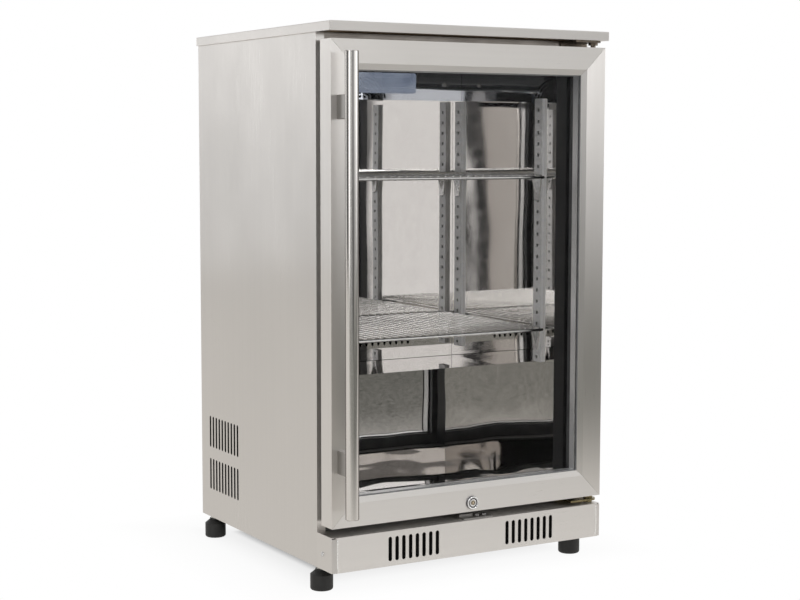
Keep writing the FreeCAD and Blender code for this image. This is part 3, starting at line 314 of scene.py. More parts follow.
# Brightness by the sine of the height angle, in front of the object and behind it.
RISE_FROM = -0.30
RISE_TO = 0.70
RISE_BLEND = 0.3              # the two meet between this much in front and this much behind
RISE_FRONT = [
    (-0.30, 0.55), (-0.12, 0.36), (-0.077, 0.40), (-0.056, 0.48), (-0.033, 0.58), (-0.012, 0.78),
    (0.009, 1.08), (0.031, 1.65), (0.055, 1.42), (0.10, 1.08), (0.30, 0.88), (0.70, 0.70),
]
RISE_BACK = [
    (-0.30, 0.60), (-0.19, 0.63), (-0.10, 0.70), (-0.05, 0.76), (0.0, 0.84), (0.03, 0.96),
    (0.06, 1.04), (0.12, 0.84), (0.40, 0.58), (0.70, 0.52),
]
# How much painted shade darkens the handle's tube, by how far its surface turns away from the eye.
TUBE_PAINTED_SHADE = [(0.0, 0.0), (0.46, 0.0), (0.62, 0.8), (1.0, 1.0)]
# How far the floor is pure white, by the distance from the middle of the painted shade under the
# cabinet.
FLOOR_SHADE = [(0.0, 0.0), (0.30, 0.0), (0.36, 0.80), (0.48, 0.93), (0.70, 1.0), (1.0, 1.0)]
# How much of the carpet shows, by the share of the floor's reach in front of the object.
FLOOR_DEPTH = [
    (0.0, 0.0), (0.09, 0.03), (0.13, 0.28), (0.175, 0.62), (0.23, 0.95), (0.30, 1.0), (0.50, 1.0),
    (0.60, 0.86), (0.75, 0.72), (1.0, 0.55),
]


def make_world():
    """White studio whose walls differ by direction, so that bright metal has something to show."""
    world = bpy.data.worlds.new("studio")
    bpy.context.scene.world = world
    world.use_nodes = True
    g = Graph(world.node_tree)

    def ranged(value, low, high, stops):
        """Colour by a value between low and high, from (value, colour) pairs."""
        share = g.spread(value, 0.0, 1.0, low, high)
        return g.ramp(share, [((p - low) / (high - low), v) for p, v in stops])

    coord = g.nodes.new("ShaderNodeTexCoord")
    x, y, z = g.parts(coord.outputs["Generated"])
    turn = g.math("DEGREES", g.math("ARCTAN2", x, y))
    walls = ranged(turn, -180, 180, [(a, v) for a, v, _ in STUDIO_WALLS])
    height_share = ranged(turn, -180, 180, [(a, m) for a, _, m in STUDIO_WALLS])
    front = ranged(z, RISE_FROM, RISE_TO, RISE_FRONT)
    back = ranged(z, RISE_FROM, RISE_TO, RISE_BACK)
    behind = ranged(y, -RISE_BLEND, RISE_BLEND, [(-RISE_BLEND, 0.0), (RISE_BLEND, 1.0)])
    rise = g.blend(height_share, WHITE, g.blend(behind, front, back))
    level = g.blend(1.0, walls, rise, "MULTIPLY")
    panels = ranged(turn, PANELS_FROM, PANELS_TO, STUDIO_PANELS)
    inside = g.math("MULTIPLY", g.math("GREATER_THAN", turn, PANELS_FROM),
                    g.math("LESS_THAN", turn, PANELS_TO))
    inside = g.math("MULTIPLY", inside, g.math("LESS_THAN", z, PANELS_TOP))
    studio = g.plain("Background", g.blend(inside, level, panels))
    path = g.nodes.new("ShaderNodeLightPath")
    seen = g.mix_shaders(path.outputs["Is Camera Ray"], studio, g.plain("Background", WHITE))
    out = g.nodes.new("ShaderNodeOutputWorld")
    g.links.new(seen, out.inputs["Surface"])


def area_light(name, place, aim, size, power):
    """Soft rectangular lamp at place, facing aim."""
    data = bpy.data.lights.new(name, "AREA")
    data.shape = "RECTANGLE"
    data.size, data.size_y = size
    data.energy = power
    lamp = bpy.data.objects.new(name, data)
    bpy.context.scene.collection.objects.link(lamp)
    lamp.location = place
    lamp.rotation_euler = (Vector(aim) - Vector(place)).to_track_quat("-Z", "Y").to_euler()


def make_studio():
    """Pale floor and soft lamps."""
    mesh = bpy.data.meshes.new("floor")
    far = FLOOR_REACH
    mesh.from_pydata([(-far, far, 0), (-far, FLOOR_LEFT_END, 0), (0, FLOOR_LEFT_END, 0),
                      (0, -far, 0), (far, -far, 0), (far, far, 0)], [], [(0, 1, 2, 3, 4, 5)])
    floor = bpy.data.objects.new("floor", mesh)
    bpy.context.scene.collection.objects.link(floor)
    floor.data.materials.append(floor_material())
    for lamp in LAMPS:
        area_light(*lamp)


# ---------------------------------------------------------------- materials

def floor_material():
    """Pale studio floor, pure white away from the object, painted near-black under the cabinet as
    painted shade, with a darker carpet in front of it that only mirrors show."""
    s = Shader("studio_floor")
    place = s.parts(s.coord.outputs["Object"])

    def share(socket, middle, half):
        """Distance from the middle, as a share of half the painted shade's size."""
        size = s.math("ABSOLUTE", s.math("SUBTRACT", socket, middle))
        return s.spread(size, 0.0, 4.0, 0.0, 4.0 * half)

    away = s.math("SMOOTH_MAX", share(place["X"], 0.0, SHADE_HALF_X),
                  share(place["Y"], SHADE_MIDDLE_Y, SHADE_HALF_Y), SHADE_ROUNDING)
    cloud = s.tint(s.noise((1.2, 1.2, 1.2), 2.0), (0.88, 0.88, 0.88), (0.92, 0.92, 0.92))
    # painted shade: the floor's colour goes near-black under the cabinet
    s.feed(Base_Color=s.blend(s.spread(away, 0.0, 1.0, 0.75, 1.1), (0.05, 0.05, 0.05), cloud),
           Roughness=0.85)
    shade = s.ramp(s.spread(away, 0.0, 1.0, 0.0, 3.0), FLOOR_SHADE)
    shown = s.mix_shaders(shade, s.bsdf.outputs[0], s.plain("Emission", WHITE))
    fibre = s.noise((70.0, 70.0, 70.0), 3.0, 0.8)
    right_pile = s.tint(fibre, (0.07, 0.07, 0.063), (0.25, 0.25, 0.23), 0.38, 0.62)
    left_pile = s.tint(fibre, (0.11, 0.11, 0.10), (0.42, 0.42, 0.39), 0.38, 0.62)
    pile = s.blend(s.spread(place["X"], 0.0, 1.0, -0.5, 0.1), left_pile, right_pile)
    depth = s.ramp(s.spread(place["Y"], 0.0, 1.0, 0.0, -FLOOR_REACH), FLOOR_DEPTH)
    mirrored = s.blend(depth, (0.74, 0.72, 0.69), pile)
    # painted shade: what mirrors see of the floor also goes near-black under the cabinet
    mirrored = s.blend(s.spread(away, 0.0, 1.0, 0.95, 1.40), (0.015, 0.015, 0.014), mirrored)
    path = s.nodes.new("ShaderNodeLightPath")
    return s.show(s.mix_shaders(path.outputs["Is Camera Ray"], s.plain("Emission", mirrored),
                                shown))


def brushed_shader(name, along, tone=1.0, rough=0.31, spread=0.97):
    """Stainless sheet with its grain along one axis ("x", "y" or "z"): it blurs across the grain."""
    s = Shader(name)
    fine = {axis: 1500.0 for axis in "xyz"}
    streak = {axis: 110.0 for axis in "xyz"}
    fine[along] = 14.0
    streak[along] = 1.1
    grain = s.noise(tuple(fine.values()), 3.0, 0.6)
    streaks = s.noise(tuple(streak.values()), 4.0, 0.6, (3, 7, 1))
    smudge = s.noise((5.5, 5.5, 4.0), 3.0, 0.5, (11, 2, 5))
    dark = tuple(c * tone * 0.985 for c in STEEL)
    light = tuple(min(1.0, c * tone * 1.012) for c in STEEL)
    shade = s.add(streaks, smudge, 0.45)
    relief = s.bump(grain, 0.00002, 0.25)
    relief = s.bump(streaks, 0.00003, 0.07, relief)
    gloss = s.add(s.spread(grain, rough - 0.03, rough + 0.04), s.spread(smudge, -0.02, 0.03), 1.0)
    surface = s.nodes.new("ShaderNodeNewGeometry")
    across = s.nodes.new("ShaderNodeVectorMath")
    across.operation = "CROSS_PRODUCT"
    across.inputs[1].default_value = GRAIN_DIRECTION[along]
    s.links.new(surface.outputs["True Normal"], across.inputs[0])
    s.feed(Base_Color=s.tint(shade, dark, light, 0.45, 1.0), Metallic=1.0, Roughness=gloss,
           Anisotropic=spread, Tangent=across.outputs[0], Normal=relief)
    return s


def brushed_steel(*grain):
    """Plain brushed steel, as brushed_shader makes it."""
    return brushed_shader(*grain).material


def slotted_steel(name):
    """Upright-grained side sheet whose vent slots' cut edges are painted near-black, as painted
    shade inside the slots.
    """
    s = brushed_shader(name, "z")
    facing = s.parts(s.nodes.new("ShaderNodeNewGeometry").outputs["True Normal"])
    place = s.parts(s.coord.outputs["Object"])
    # painted shade: a mask of the slots' cut edges, which turn near-black
    painted_shade_mask = s.math("LESS_THAN", s.math("ABSOLUTE", facing["X"]), 0.5)
    for axis, low, high in (("Y", VENT_START_Y, VENT_END_Y), ("Z", VENT_LOW_Z, VENT_HIGH_Z)):
        painted_shade_mask = s.math("MULTIPLY", painted_shade_mask, s.math("GREATER_THAN", place[axis], low))
        painted_shade_mask = s.math("MULTIPLY", painted_shade_mask, s.math("LESS_THAN", place[axis], high))
    sheet = s.bsdf.inputs["Base Color"].links[0].from_socket
    return s.feed(Base_Color=s.blend(painted_shade_mask, sheet, (0.01, 0.01, 0.01)))


def drawn_tube(name):
    """Brushed tube with painted shade: a dark diffuse colour where its surface turns away from the
    eye.
    """
    s = brushed_shader(name, "z", 1.0, 0.16, 0.5)
    angle = s.nodes.new("ShaderNodeLayerWeight")
    angle.inputs["Blend"].default_value = 0.5
    painted_shade_mask = s.ramp(angle.outputs["Facing"], TUBE_PAINTED_SHADE)
    # painted shade: the dark colour that the tube's rims turn to
    darker_tone = s.plain("BsdfDiffuse", (0.11, 0.095, 0.085))
    return s.show(s.mix_shaders(painted_shade_mask, s.bsdf.outputs[0], darker_tone))


def polished_steel(name, colour=(0.84, 0.825, 0.81), wave=0.0005):
    """Mirror-polished sheet with the slow waves of thin metal."""
    s = Shader(name)
    swell = s.noise((7.0, 7.0, 4.5), 1.0, 0.4, (2, 9, 4))
    haze = s.noise((60.0, 60.0, 60.0), 4.0)
    darker_tone = tuple(0.965 * c for c in colour)
    height = s.parts(s.coord.outputs["Object"])["Z"]
    low = s.spread(height, 1.0, 0.0, CREASES_FULL_Z, CREASES_END_Z)
    crease = s.math("MULTIPLY", s.noise((7.5, 7.0, 9.0), 0.6, 0.4, (4, 2, 6)), low)
    relief = s.bump(swell, wave, 0.9)
    relief = s.bump(crease, 0.0026, 1.0, relief)
    return s.feed(Base_Color=s.tint(haze, darker_tone, colour), Metallic=1.0,
                  Roughness=s.spread(haze, 0.012, 0.035), Normal=relief)


def zinc_sheet(name, dark=(0.56, 0.585, 0.615), light=(0.67, 0.695, 0.725), metal=0.85):
    """Galvanised sheet with a faint spangle."""
    s = Shader(name)
    spangle = s.cells((210.0, 210.0, 210.0))
    haze = s.noise((320.0, 320.0, 320.0), 3.0)
    mix = s.add(spangle, haze, 0.6)
    relief = s.bump(haze, 0.00004, 0.4)
    return s.feed(Base_Color=s.tint(mix, dark, light, 0.2, 1.3), Metallic=metal,
                  Roughness=s.spread(mix, 0.30, 0.46, 0.2, 1.3), Normal=relief)


def plated(name, dark, light, rough=0.14):
    """Bright plating over drawn wire or turned metal, a little uneven."""
    s = Shader(name)
    uneven = s.noise((210.0, 210.0, 210.0), 3.0)
    fine = s.noise((1300.0, 1300.0, 1300.0), 2.0)
    relief = s.bump(uneven, 0.00006, 0.5)
    relief = s.bump(fine, 0.00001, 0.5, relief)
    return s.feed(Base_Color=s.tint(uneven, dark, light), Metallic=1.0,
                  Roughness=s.spread(uneven, rough * 0.7, rough * 1.5), Normal=relief)


def passivated_zinc(name, dark, light):
    """Passivated zinc plate, clouded between two of its colours."""
    s = Shader(name)
    cloud = s.noise((95.0, 95.0, 95.0), 3.0, 0.6)
    hue = s.tint(cloud, dark, light)
    fine = s.noise((900.0, 900.0, 900.0), 2.0)
    return s.feed(Base_Color=hue, Metallic=0.95, Roughness=s.spread(cloud, 0.24, 0.40),
                  Normal=s.bump(fine, 0.00002, 0.5))


def moulded(name, dark, light, rough, grain=0.00004, pitch=1100.0):
    """Moulded plastic or rubber with a fine grained skin."""
    s = Shader(name)
    skin = s.noise((pitch, pitch, pitch), 2.0)
    cloud = s.noise((38.0, 38.0, 38.0), 3.0)
    relief = s.bump(skin, grain, 0.6)
    return s.feed(Base_Color=s.tint(cloud, dark, light), Roughness=s.spread(cloud, rough - 0.06,
                  rough + 0.08), Normal=relief)


def matte_cloth():
    """Black filter cloth with its specular reflection switched off, partly painted shade that keeps
    the slots black.
    """
    s = Shader("filter_cloth_painted_shade")
    weave = s.noise((700.0, 700.0, 700.0), 2.0)
    # painted shade: near-zero colour and no specular, so the slots read as black
    return s.feed(Base_Color=s.tint(weave, (0.004, 0.004, 0.004), (0.012, 0.012, 0.012)),
                  Roughness=0.95, Specular_IOR_Level=0.0, Normal=s.bump(weave, 0.0002, 0.6))


def foot_material():
    """Black rubber cup, and zinc-plated steel above it."""
    s = Shader("foot_rubber_and_steel")
    height = s.parts(s.coord.outputs["Object"])["Z"]
    steel = s.spread(height, 0.0, 1.0, FOOT_CUP_TOP, FOOT_CUP_TOP + 0.0002)
    skin = s.noise((900.0, 900.0, 900.0), 2.0)
    dust = s.noise((60.0, 60.0, 60.0), 4.0)
    rubber = s.tint(dust, (0.008, 0.008, 0.008), (0.022, 0.022, 0.021))
    return s.feed(Base_Color=s.blend(steel, rubber, (0.60, 0.59, 0.56)), Metallic=steel,
                  Roughness=s.spread(dust, 0.45, 0.65), Normal=s.bump(skin, 0.00005, 0.6))


def front_frame_material():
    """Near-black painted shade, bare brownish steel along the top edge."""
    s = Shader("front_frame_painted_shade")
    height = s.parts(s.coord.outputs["Object"])["Z"]
    bare = s.spread(height, 0.0, 1.0, BARE_EDGE_Z, BARE_EDGE_Z + 0.004)
    cloud = s.noise((38.0, 38.0, 38.0), 3.0)
    streak = s.noise((8.0, 200.0, 900.0), 3.0)
    # painted shade: the near-black colour of the shaded frame face behind the gaps
    enamel = s.tint(cloud, (0.012, 0.012, 0.012), (0.03, 0.03, 0.03))
    steel = s.tint(streak, (0.42, 0.38, 0.345), (0.66, 0.62, 0.58))
    return s.feed(Base_Color=s.blend(bare, enamel, steel), Metallic=bare,
                  Roughness=s.spread(cloud, 0.33, 0.45), Normal=s.bump(streak, 0.00003, 0.5))


def foam_material():
    """Rigid foam with its open cells."""
    s = Shader("rigid_foam")
    cell = s.noise((520.0, 520.0, 520.0), 3.0, 0.7)
    return s.feed(Base_Color=s.tint(cell, (0.70, 0.61, 0.38), (0.90, 0.83, 0.60)),
                  Roughness=0.9, Normal=s.bump(cell, 0.0004, 0.8))


def board_material():
    """Particle board."""
    s = Shader("particle_board")
    chip = s.noise((260.0, 260.0, 420.0), 5.0, 0.75)
    return s.feed(Base_Color=s.tint(chip, (0.30, 0.20, 0.12), (0.70, 0.54, 0.36), 0.35, 0.65),
                  Roughness=0.8, Normal=s.bump(chip, 0.0003, 0.6))


def clear_glass(name, tint):
    """Float glass that lets light straight through and mirrors by its angle."""
    s = Shader(name)
    s.nodes.remove(s.bsdf)
    smear = s.noise((9.0, 9.0, 5.0), 4.0, 0.6)
    gloss = s.nodes.new("ShaderNodeBsdfGlossy")
    s.put(gloss.inputs["Color"], (0.95, 0.97, 1.0))
    s.put(gloss.inputs["Roughness"], s.spread(smear, 0.0, 0.03, 0.4, 0.75))
    fresnel = s.nodes.new("ShaderNodeFresnel")
    fresnel.inputs["IOR"].default_value = 1.1
    clear = s.plain("BsdfTransparent", tint)
    return s.show(s.mix_shaders(fresnel.outputs[0], clear, gloss.outputs[0]))


def film_material():
    """Thin bluish clear film, cloudy where it holds air."""
    s = Shader("blank_film")
    cloud = s.noise((22.0, 22.0, 40.0), 2.0, 0.4)
    return s.feed(Base_Color=s.tint(cloud, (0.38, 0.47, 0.68), (0.60, 0.68, 0.84)),
                  Roughness=0.25, Alpha=s.spread(cloud, 0.22, 0.36),
                  Normal=s.bump(cloud, 0.0001, 0.3))


def lamp_cover():
    """Frosted lamp cover."""
    s = Shader("frosted_cover")
    rib = s.noise((900.0, 10.0, 10.0), 1.0)
    return s.feed(Base_Color=s.tint(rib, (0.50, 0.505, 0.50), (0.60, 0.605, 0.60)),
                  Roughness=0.35, Normal=s.bump(rib, 0.00005, 0.5))


def dress(material, *names):
    """Give CAD nodes a material."""
    for name in names:
        data = NODES[name].data
        data.materials.clear()
        data.materials.append(material)


def dress_cad_nodes():
    """Every CAD node that stays visible gets its own kind of surface."""
    dress(slotted_steel("steel_grain_up"), "side_panel_left", "side_panel_right")
    dress(brushed_steel("door_grain_up", "z", 1.08), "door_stile_left", "door_stile_right")
    dress(brushed_steel("steel_grain_across", "x", 1.02), "door_rail_bottom", "kick_plate",
          "worktop")
    # painted light: a brighter copy of the door steel for the top rail, which catches more light
    dress(brushed_steel("top_rail_painted_light_steel", "x", 1.16), "door_rail_top")
    # painted shade: a darkened copy of the steel for the keeper, which sits in the shaded gap
    dress(brushed_steel("keeper_painted_shade_steel", "x", 0.45), "lock_keeper")
    dress(drawn_tube("steel_tube"), "handle_bar")
    # painted shade: a darkened copy of the handle steel for the posts beside the door
    dress(brushed_steel("post_painted_shade_steel", "z", 0.50, 0.30, 0.5), "handle_posts")
    dress(polished_steel("polished_liner"), "liner", "back_panel")
    dress(polished_steel("polished_hood", (0.56, 0.59, 0.64), 0.0016), "discharge_hood")
    dress(zinc_sheet("galvanised_sheet"), "rear_panel", "rear_grille", "drip_tray",
          "blower_housing")
    # painted shade: galvanised sheet darkened for the shaded machine compartment
    dress(zinc_sheet("painted_shade_sheet", (0.20, 0.21, 0.22), (0.30, 0.31, 0.32), 0.6), "base_tray",
          "machine_partition")
    # painted light: a near-white copy of galvanised sheet, brightened against the shade on the
    # uprights
    dress(zinc_sheet("galvanised_upright_painted_light", (0.90, 0.92, 0.95), (0.98, 0.99, 1.0), 0.75),
          "pilaster_front_left", "pilaster_front_right", "pilaster_rear_left",
          "pilaster_rear_right")
    dress(plated("bright_wire", (0.80, 0.80, 0.79), (0.94, 0.94, 0.93), 0.10), "shelf_upper",
          "shelf_lower")
    dress(plated("bright_fastener", (0.62, 0.62, 0.62), (0.82, 0.82, 0.82)), "shelf_clips",
          "panel_screws", "handle_bolts")
    # painted shade: the barrel's face is near-black, as shade in the lock's grooves
    dress(plated("lock_well_painted_shade", (0.10, 0.10, 0.11), (0.20, 0.20, 0.21), 0.2), "lock_barrel")
    dress(plated("key_brass", (0.30, 0.27, 0.22), (0.50, 0.44, 0.34), 0.25), "lock_core")
    dress(zinc_sheet("drawn_aluminium", (0.94, 0.95, 0.96), (0.98, 0.99, 1.0), 0.9), "glass_spacer")
    dress(plated("mill_aluminium", (0.70, 0.72, 0.75), (0.88, 0.90, 0.93), 0.3),
          "evaporator_coil")
    dress(plated("drawn_copper", (0.55, 0.24, 0.12), (0.82, 0.45, 0.28), 0.25), "pipework")
    # yellow zinc plate, darkened in part as painted shade
    dress(passivated_zinc("yellow_zinc_plate_and_shade", (0.15, 0.13, 0.07), (0.36, 0.29, 0.16)),
          "hinge_bracket_bottom")
    # painted shade: a darker copy of the hinge's zinc plate for the top bracket, which sits in shade
    dress(passivated_zinc("zinc_plate_painted_shade", (0.09, 0.075, 0.06), (0.26, 0.215, 0.17)),
          "hinge_bracket_top")
    dress(moulded("black_moulding", (0.016, 0.017, 0.017), (0.034, 0.035, 0.036), 0.42),
          "breaker_frame", "blower_rotor", "condenser_fan_rotor", "terminal_box")
    # grey plastic, darkened in part as painted shade for the door gap
    dress(moulded("grey_moulding_painted_shade", (0.10, 0.105, 0.11), (0.15, 0.155, 0.16), 0.40),
          "door_inner_frame", "hinge_bushes")
    dress(moulded("white_moulding", (0.74, 0.75, 0.76), (0.86, 0.87, 0.88), 0.38),
          "thermostat_box", "thermostat_knob")
    dress(moulded("black_enamel", (0.012, 0.012, 0.012), (0.03, 0.03, 0.03), 0.35, 0.00003, 500.0),
          "compressor", "condenser_coil", "condenser_fan_frame")
    dress(front_frame_material(), "front_frame")
    dress(moulded("soft_rubber", (0.012, 0.012, 0.013), (0.028, 0.028, 0.03), 0.6),
          "compressor_grommets", "cord_inlet")
    dress(foot_material(), "foot_front_left", "foot_front_right", "foot_rear_left",
          "foot_rear_right")
    dress(foam_material(), "insulation")
    dress(board_material(), "worktop_board")
    dress(lamp_cover(), "light_bar")
    dress(clear_glass("outer_glass", (0.985, 0.983, 0.982)), "glass_outer")
    dress(clear_glass("inner_glass", (0.983, 0.981, 0.98)), "glass_inner")


# ---------------------------------------------------------------- pieces

def new_piece(name, mesh_builder, material, body, smooth=35.0):
    """Link a bmesh-built piece, dress it and let it ride on its body."""
    mesh = bpy.data.meshes.new(name)
    bm = bmesh.new()
    mesh_builder(bm)
    bmesh.ops.recalc_face_normals(bm, faces=bm.faces)
    bm.to_mesh(mesh)
    bm.free()
    mesh.polygons.foreach_set("use_smooth", [True] * len(mesh.polygons))
    mesh.set_sharp_from_angle(angle=math.radians(smooth))
    piece = bpy.data.objects.new(name, mesh)
    bpy.context.scene.collection.objects.link(piece)
    mesh.materials.append(material)
    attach(piece, body)
    return piece


def frame_loop(bm, half, low, high, profile):
    """Sweep a closed profile of (inset, y) points round an upright rectangle with mitred corners."""
    rings = []
    for side_x, side_z in ((-1, -1), (1, -1), (1, 1), (-1, 1)):
        ring = []
        for inset, y in profile:
            z = low + inset if side_z < 0 else high - inset
            ring.append(bm.verts.new((side_x * (half - inset), y, z)))
        rings.append(ring)
    for a, b in zip(rings, rings[1:] + rings[:1]):
        for i in range(len(profile)):
            k = (i + 1) % len(profile)
            bm.faces.new((a[i], a[k], b[k], b[i]))


def softened(profile, steps):
    """The same closed outline with its corners rounded off by repeated cutting."""
    for _ in range(steps):
        cut = []
        for a, b in zip(profile, profile[1:] + profile[:1]):
            cut.append(tuple(0.75 * p + 0.25 * q for p, q in zip(a, b)))
            cut.append(tuple(0.25 * p + 0.75 * q for p, q in zip(a, b)))
        profile = cut
    return profile


def make_gasket():
    """Magnetic door seal: a flat foot, two folds of bellows and a wide soft head."""
    low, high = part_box("door_gasket")
    profile = softened(GASKET_OUTLINE, 2)
    first = min(v for _, v in profile)
    last = max(v for _, v in profile)
    scale = (high[1] - low[1]) / (last - first)
    profile = [(u * MM, low[1] + (v - first) * scale) for u, v in profile]
    rubber = moulded("seal_vinyl", (0.010, 0.010, 0.011), (0.026, 0.026, 0.028), 0.48, 0.00003)
    piece = new_piece("gasket_bellows", lambda bm: frame_loop(bm, high[0], low[2], high[2],
                      profile), rubber, "door")
    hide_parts("door_gasket")


def make_glazing_seal():
    """Thin rubber bead between the sloped lip and the outer pane, whose dark grey stands in for the
    shadow line along the lip.
    """
    low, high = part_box("glass_outer")
    lap = GLASS_LAP * MM
    face = low[1] - GLAZING_OFF_GLASS * MM
    profile = [(u * MM, face + v * MM) for u, v in softened(GLAZING_OUTLINE, 1)]
    # partly painted shade: a grey bead where the lip's edge throws a shadow line on the glass
    rubber = moulded("glazing_rubber_shade_line", (0.17, 0.175, 0.18), (0.24, 0.245, 0.25), 0.5, 0.00002)
    new_piece("glazing_seal", lambda bm: frame_loop(bm, high[0] - lap, low[2] + lap,
              high[2] - lap, profile), rubber, "door")


def make_kick_fold(side):
    """Rounded fold at the end of the kick plate, with its slight S at the bottom."""
    low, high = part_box("kick_plate")
    x0 = side * (high[0] - FOLD_FROM_END * MM)
    y0 = low[1] + FOLD_BACK * MM
    foot = low[2] + FOLD_LOW_GAP * MM
    top = high[2] - FOLD_HIGH_GAP * MM

    def build(bm):
        """Half-round rod, tapered at both ends and swayed at its foot."""
        rows = 24
        around = 9
        grid = []
        for i in range(rows + 1):
            t = i / rows
            z = foot + t * (top - foot)
            sway = -side * FOLD_SWAY * MM * math.exp(-((t + 0.02) / FOLD_SWAY_REACH) ** 2)
            taper = min(1.0, FOLD_END_WIDTH + FOLD_WIDENING * min(t, 1 - t))
            row = []
            for k in range(around):
                a = math.pi * k / (around - 1)
                x = x0 + sway + FOLD_HALF_WIDTH * MM * taper * math.cos(a)
                y = y0 - FOLD_DEPTH * MM * taper * math.sin(a)
                row.append(bm.verts.new((x, y, z)))
            grid.append(row)
        for a, b in zip(grid, grid[1:]):
            for k in range(around - 1):
                bm.faces.new((a[k], a[k + 1], b[k + 1], b[k]))
            bm.faces.new((a[-1], a[0], b[0], b[-1]))
        bm.faces.new(grid[0])
        bm.faces.new(grid[-1][::-1])

    name = "kick_fold_right" if side > 0 else "kick_fold_left"
    # painted highlight: a brighter, glossier copy of the kick plate's steel, so the fold shows as a
    # white line
    steel = plated(name + "_steel", (0.90, 0.90, 0.89), (0.97, 0.97, 0.96), 0.2)
    new_piece(name, build, steel, "cabinet")


def make_film():
    """Blank clear film left on the glass, with rounded corners and one lifted edge."""
    low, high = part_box("glass_outer")
    left = low[0] + (GLASS_LAP + FILM_GAP) * MM
    top = high[2] - (GLASS_LAP + FILM_GAP) * MM
    wide, tall = (size * MM for size in FILM_SIZE)
    corner = FILM_CORNER * MM
    face = low[1] - FILM_OFF_GLASS * MM

    def build(bm):
        """Two thin layers of faces with round corners."""
        across = 20
        down = 8
        grid = {}
        for i in range(across + 1):
            for k in range(down + 1):
                u, v = i / across, k / down
                x, z = left + u * wide, top - v * tall
                dx = max(0.0, abs(u - 0.5) * wide - wide / 2 + corner)
                dz = max(0.0, abs(v - 0.5) * tall - tall / 2 + corner)
                reach = math.hypot(dx, dz)
                pull = 0.0 if reach <= corner else 1 - corner / reach
                x -= math.copysign(dx * pull, u - 0.5)
                z += math.copysign(dz * pull, v - 0.5)
                loose = max(0.0, u - FILM_LIFT_FROM) / (1 - FILM_LIFT_FROM) * (1 - v)
                back = face - FILM_LIFT * MM * loose
                grid[i, k] = (bm.verts.new((x, back, z)),
                              bm.verts.new((x, back - FILM_THICK * MM, z)))
        for i in range(across):
            for k in range(down):
                for layer in (0, 1):
                    bm.faces.new([grid[p][layer] for p in ((i, k), (i + 1, k), (i + 1, k + 1),
                                                           (i, k + 1))])

    new_piece("blank_film", build, film_material(), "door")


def make_lock_rings():
    """Chrome rings of the cam lock, on the barrel and on the turning core, and its brass pin."""
    barrel_low, barrel_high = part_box("lock_barrel")
    core_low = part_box("lock_core")[0]
    middle = ((barrel_low[0] + barrel_high[0]) / 2, (barrel_low[2] + barrel_high[2]) / 2)
    around = 64
    wire_sides = 14
    chrome = plated("lock_chrome", (0.86, 0.86, 0.86), (0.96, 0.96, 0.96), 0.07)

    def ring(radius, thick, face):
        """Builder of a ring of flattened wire round the lock's middle, in the plane of face."""
        def build(bm):
            loops = []
            for i in range(around):
                a = 2 * math.pi * i / around
                loop = []
                for k in range(wire_sides):
                    b = 2 * math.pi * k / wire_sides
                    r = (radius + thick * math.cos(b)) * MM
                    loop.append(bm.verts.new((middle[0] + r * math.cos(a),
                                              face + LOCK_WIRE_FLAT * thick * MM * math.sin(b),
                                              middle[1] + r * math.sin(a))))
                loops.append(loop)
            for a, b in zip(loops, loops[1:] + loops[:1]):
                for k in range(wire_sides):
                    m = (k + 1) % wire_sides
                    bm.faces.new((a[k], a[m], b[m], b[k]))
        return build

    new_piece("lock_ring_outer", ring(LOCK_OUTER_R, LOCK_OUTER_WIRE, barrel_low[1]), chrome,
              "door", 80)
    new_piece("lock_ring_inner", ring(LOCK_INNER_R, LOCK_INNER_WIRE, core_low[1]), chrome,
              "lock", 80)

    def pin(bm):
        """Low stud with three lobes."""
        sides = 30
        rings = []
        for reach, proud in LOCK_PIN_OUTLINE:
            row = []
            for i in range(sides):
                a = 2 * math.pi * i / sides
                r = reach * (1 - LOCK_PIN_LOBE + LOCK_PIN_LOBE * math.cos(3 * a)) * MM
                row.append(bm.verts.new((middle[0] + r * math.cos(a), core_low[1] - proud * MM,
                                         middle[1] + r * math.sin(a))))
            rings.append(row)
        for a, b in zip(rings, rings[1:]):
            for k in range(sides):
                m = (k + 1) % sides
                bm.faces.new((a[k], a[m], b[m], b[k]))
        bm.faces.new(rings[-1])

    brass = plated("lock_brass", (0.72, 0.55, 0.38), (0.90, 0.74, 0.54), 0.2)
    new_piece("lock_pin", pin, brass, "lock", 50)


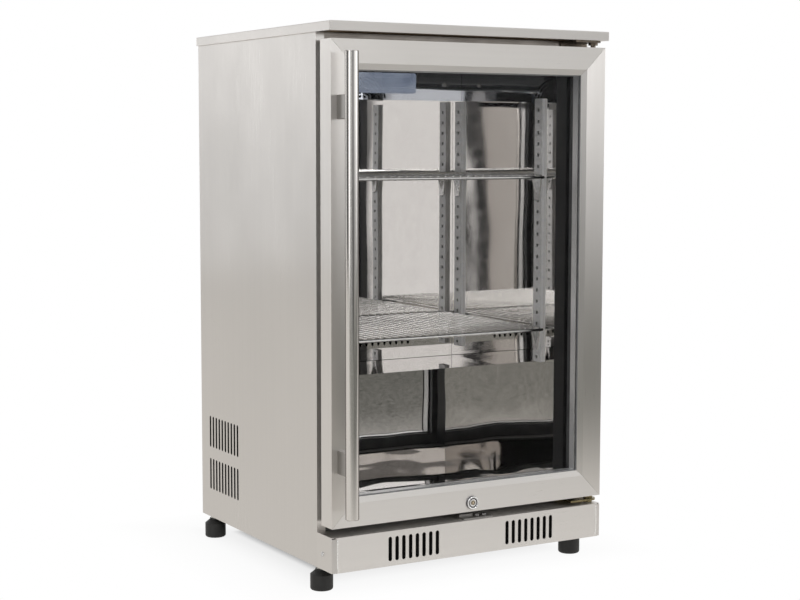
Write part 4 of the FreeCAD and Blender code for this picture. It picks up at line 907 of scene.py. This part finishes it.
def pleated(bm, start, along, pleats, pitch, depth, low, high):
    """Pleated sheet, upright, that folds in and out between its two faces."""
    across = Vector((-along[1], along[0], 0.0))
    rows = []
    for z in (low, high):
        front, back = [], []
        for i in range(2 * pleats + 1):
            place = Vector(start) + Vector(along) * (0.5 * pitch * i)
            place.z = z
            fold = across * (depth if i % 2 else 0.0)
            front.append(bm.verts.new(place + fold))
            back.append(bm.verts.new(place + fold + across * CLOTH_THICK * MM))
        rows.append((front, back))
    (f0, b0), (f1, b1) = rows
    for i in range(2 * pleats):
        bm.faces.new((f0[i], f0[i + 1], f1[i + 1], f1[i]))
        bm.faces.new((b0[i], b1[i], b1[i + 1], b0[i + 1]))
        bm.faces.new((f0[i], b0[i], b0[i + 1], f0[i + 1]))
        bm.faces.new((f1[i], f1[i + 1], b1[i + 1], b1[i]))
    bm.faces.new((f0[0], f1[0], b1[0], b0[0]))
    bm.faces.new((f0[-1], b0[-1], b1[-1], f1[-1]))


def make_filters():
    """Black pleated dust filters behind the slots of the kick plate and of both side panels."""
    cloth = matte_cloth()
    depth = PLEAT_DEPTH * MM
    low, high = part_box("kick_plate")
    front = low[1] + KICK_FILTER_BACK * MM
    inset = KICK_FILTER_INSET * MM
    for name, left in zip(("kick_filter_left", "kick_filter_right"), KICK_FILTER_X):
        new_piece(name, lambda bm: pleated(bm, (left * MM, front, 0), (1, 0, 0), KICK_PLEATS,
                  KICK_PLEAT * MM, depth, low[2] + inset, high[2] - inset), cloth, "cabinet")
    left_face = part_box("side_panel_left")[0][0] + VENT_FILTER_BACK * MM
    right_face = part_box("side_panel_right")[1][0] - VENT_FILTER_BACK * MM
    for name, start, along in (
            ("vent_filter_left", (left_face, VENT_END_Y, 0), (0, -1, 0)),
            ("vent_filter_right", (right_face, VENT_START_Y, 0), (0, 1, 0))):
        new_piece(name, lambda bm: pleated(bm, start, along, VENT_PLEATS, VENT_PLEAT * MM, depth,
                  VENT_LOW_Z, VENT_HIGH_Z), cloth, "cabinet")


make_camera()
make_world()
make_studio()
dress_cad_nodes()
make_gasket()
make_glazing_seal()
make_kick_fold(1)
make_kick_fold(-1)
make_film()
make_lock_rings()
make_filters()
bpy.context.scene.view_settings.view_transform = "Standard"
bpy.context.scene.view_settings.look = "None"
bpy.context.scene.view_settings.exposure = 0.0
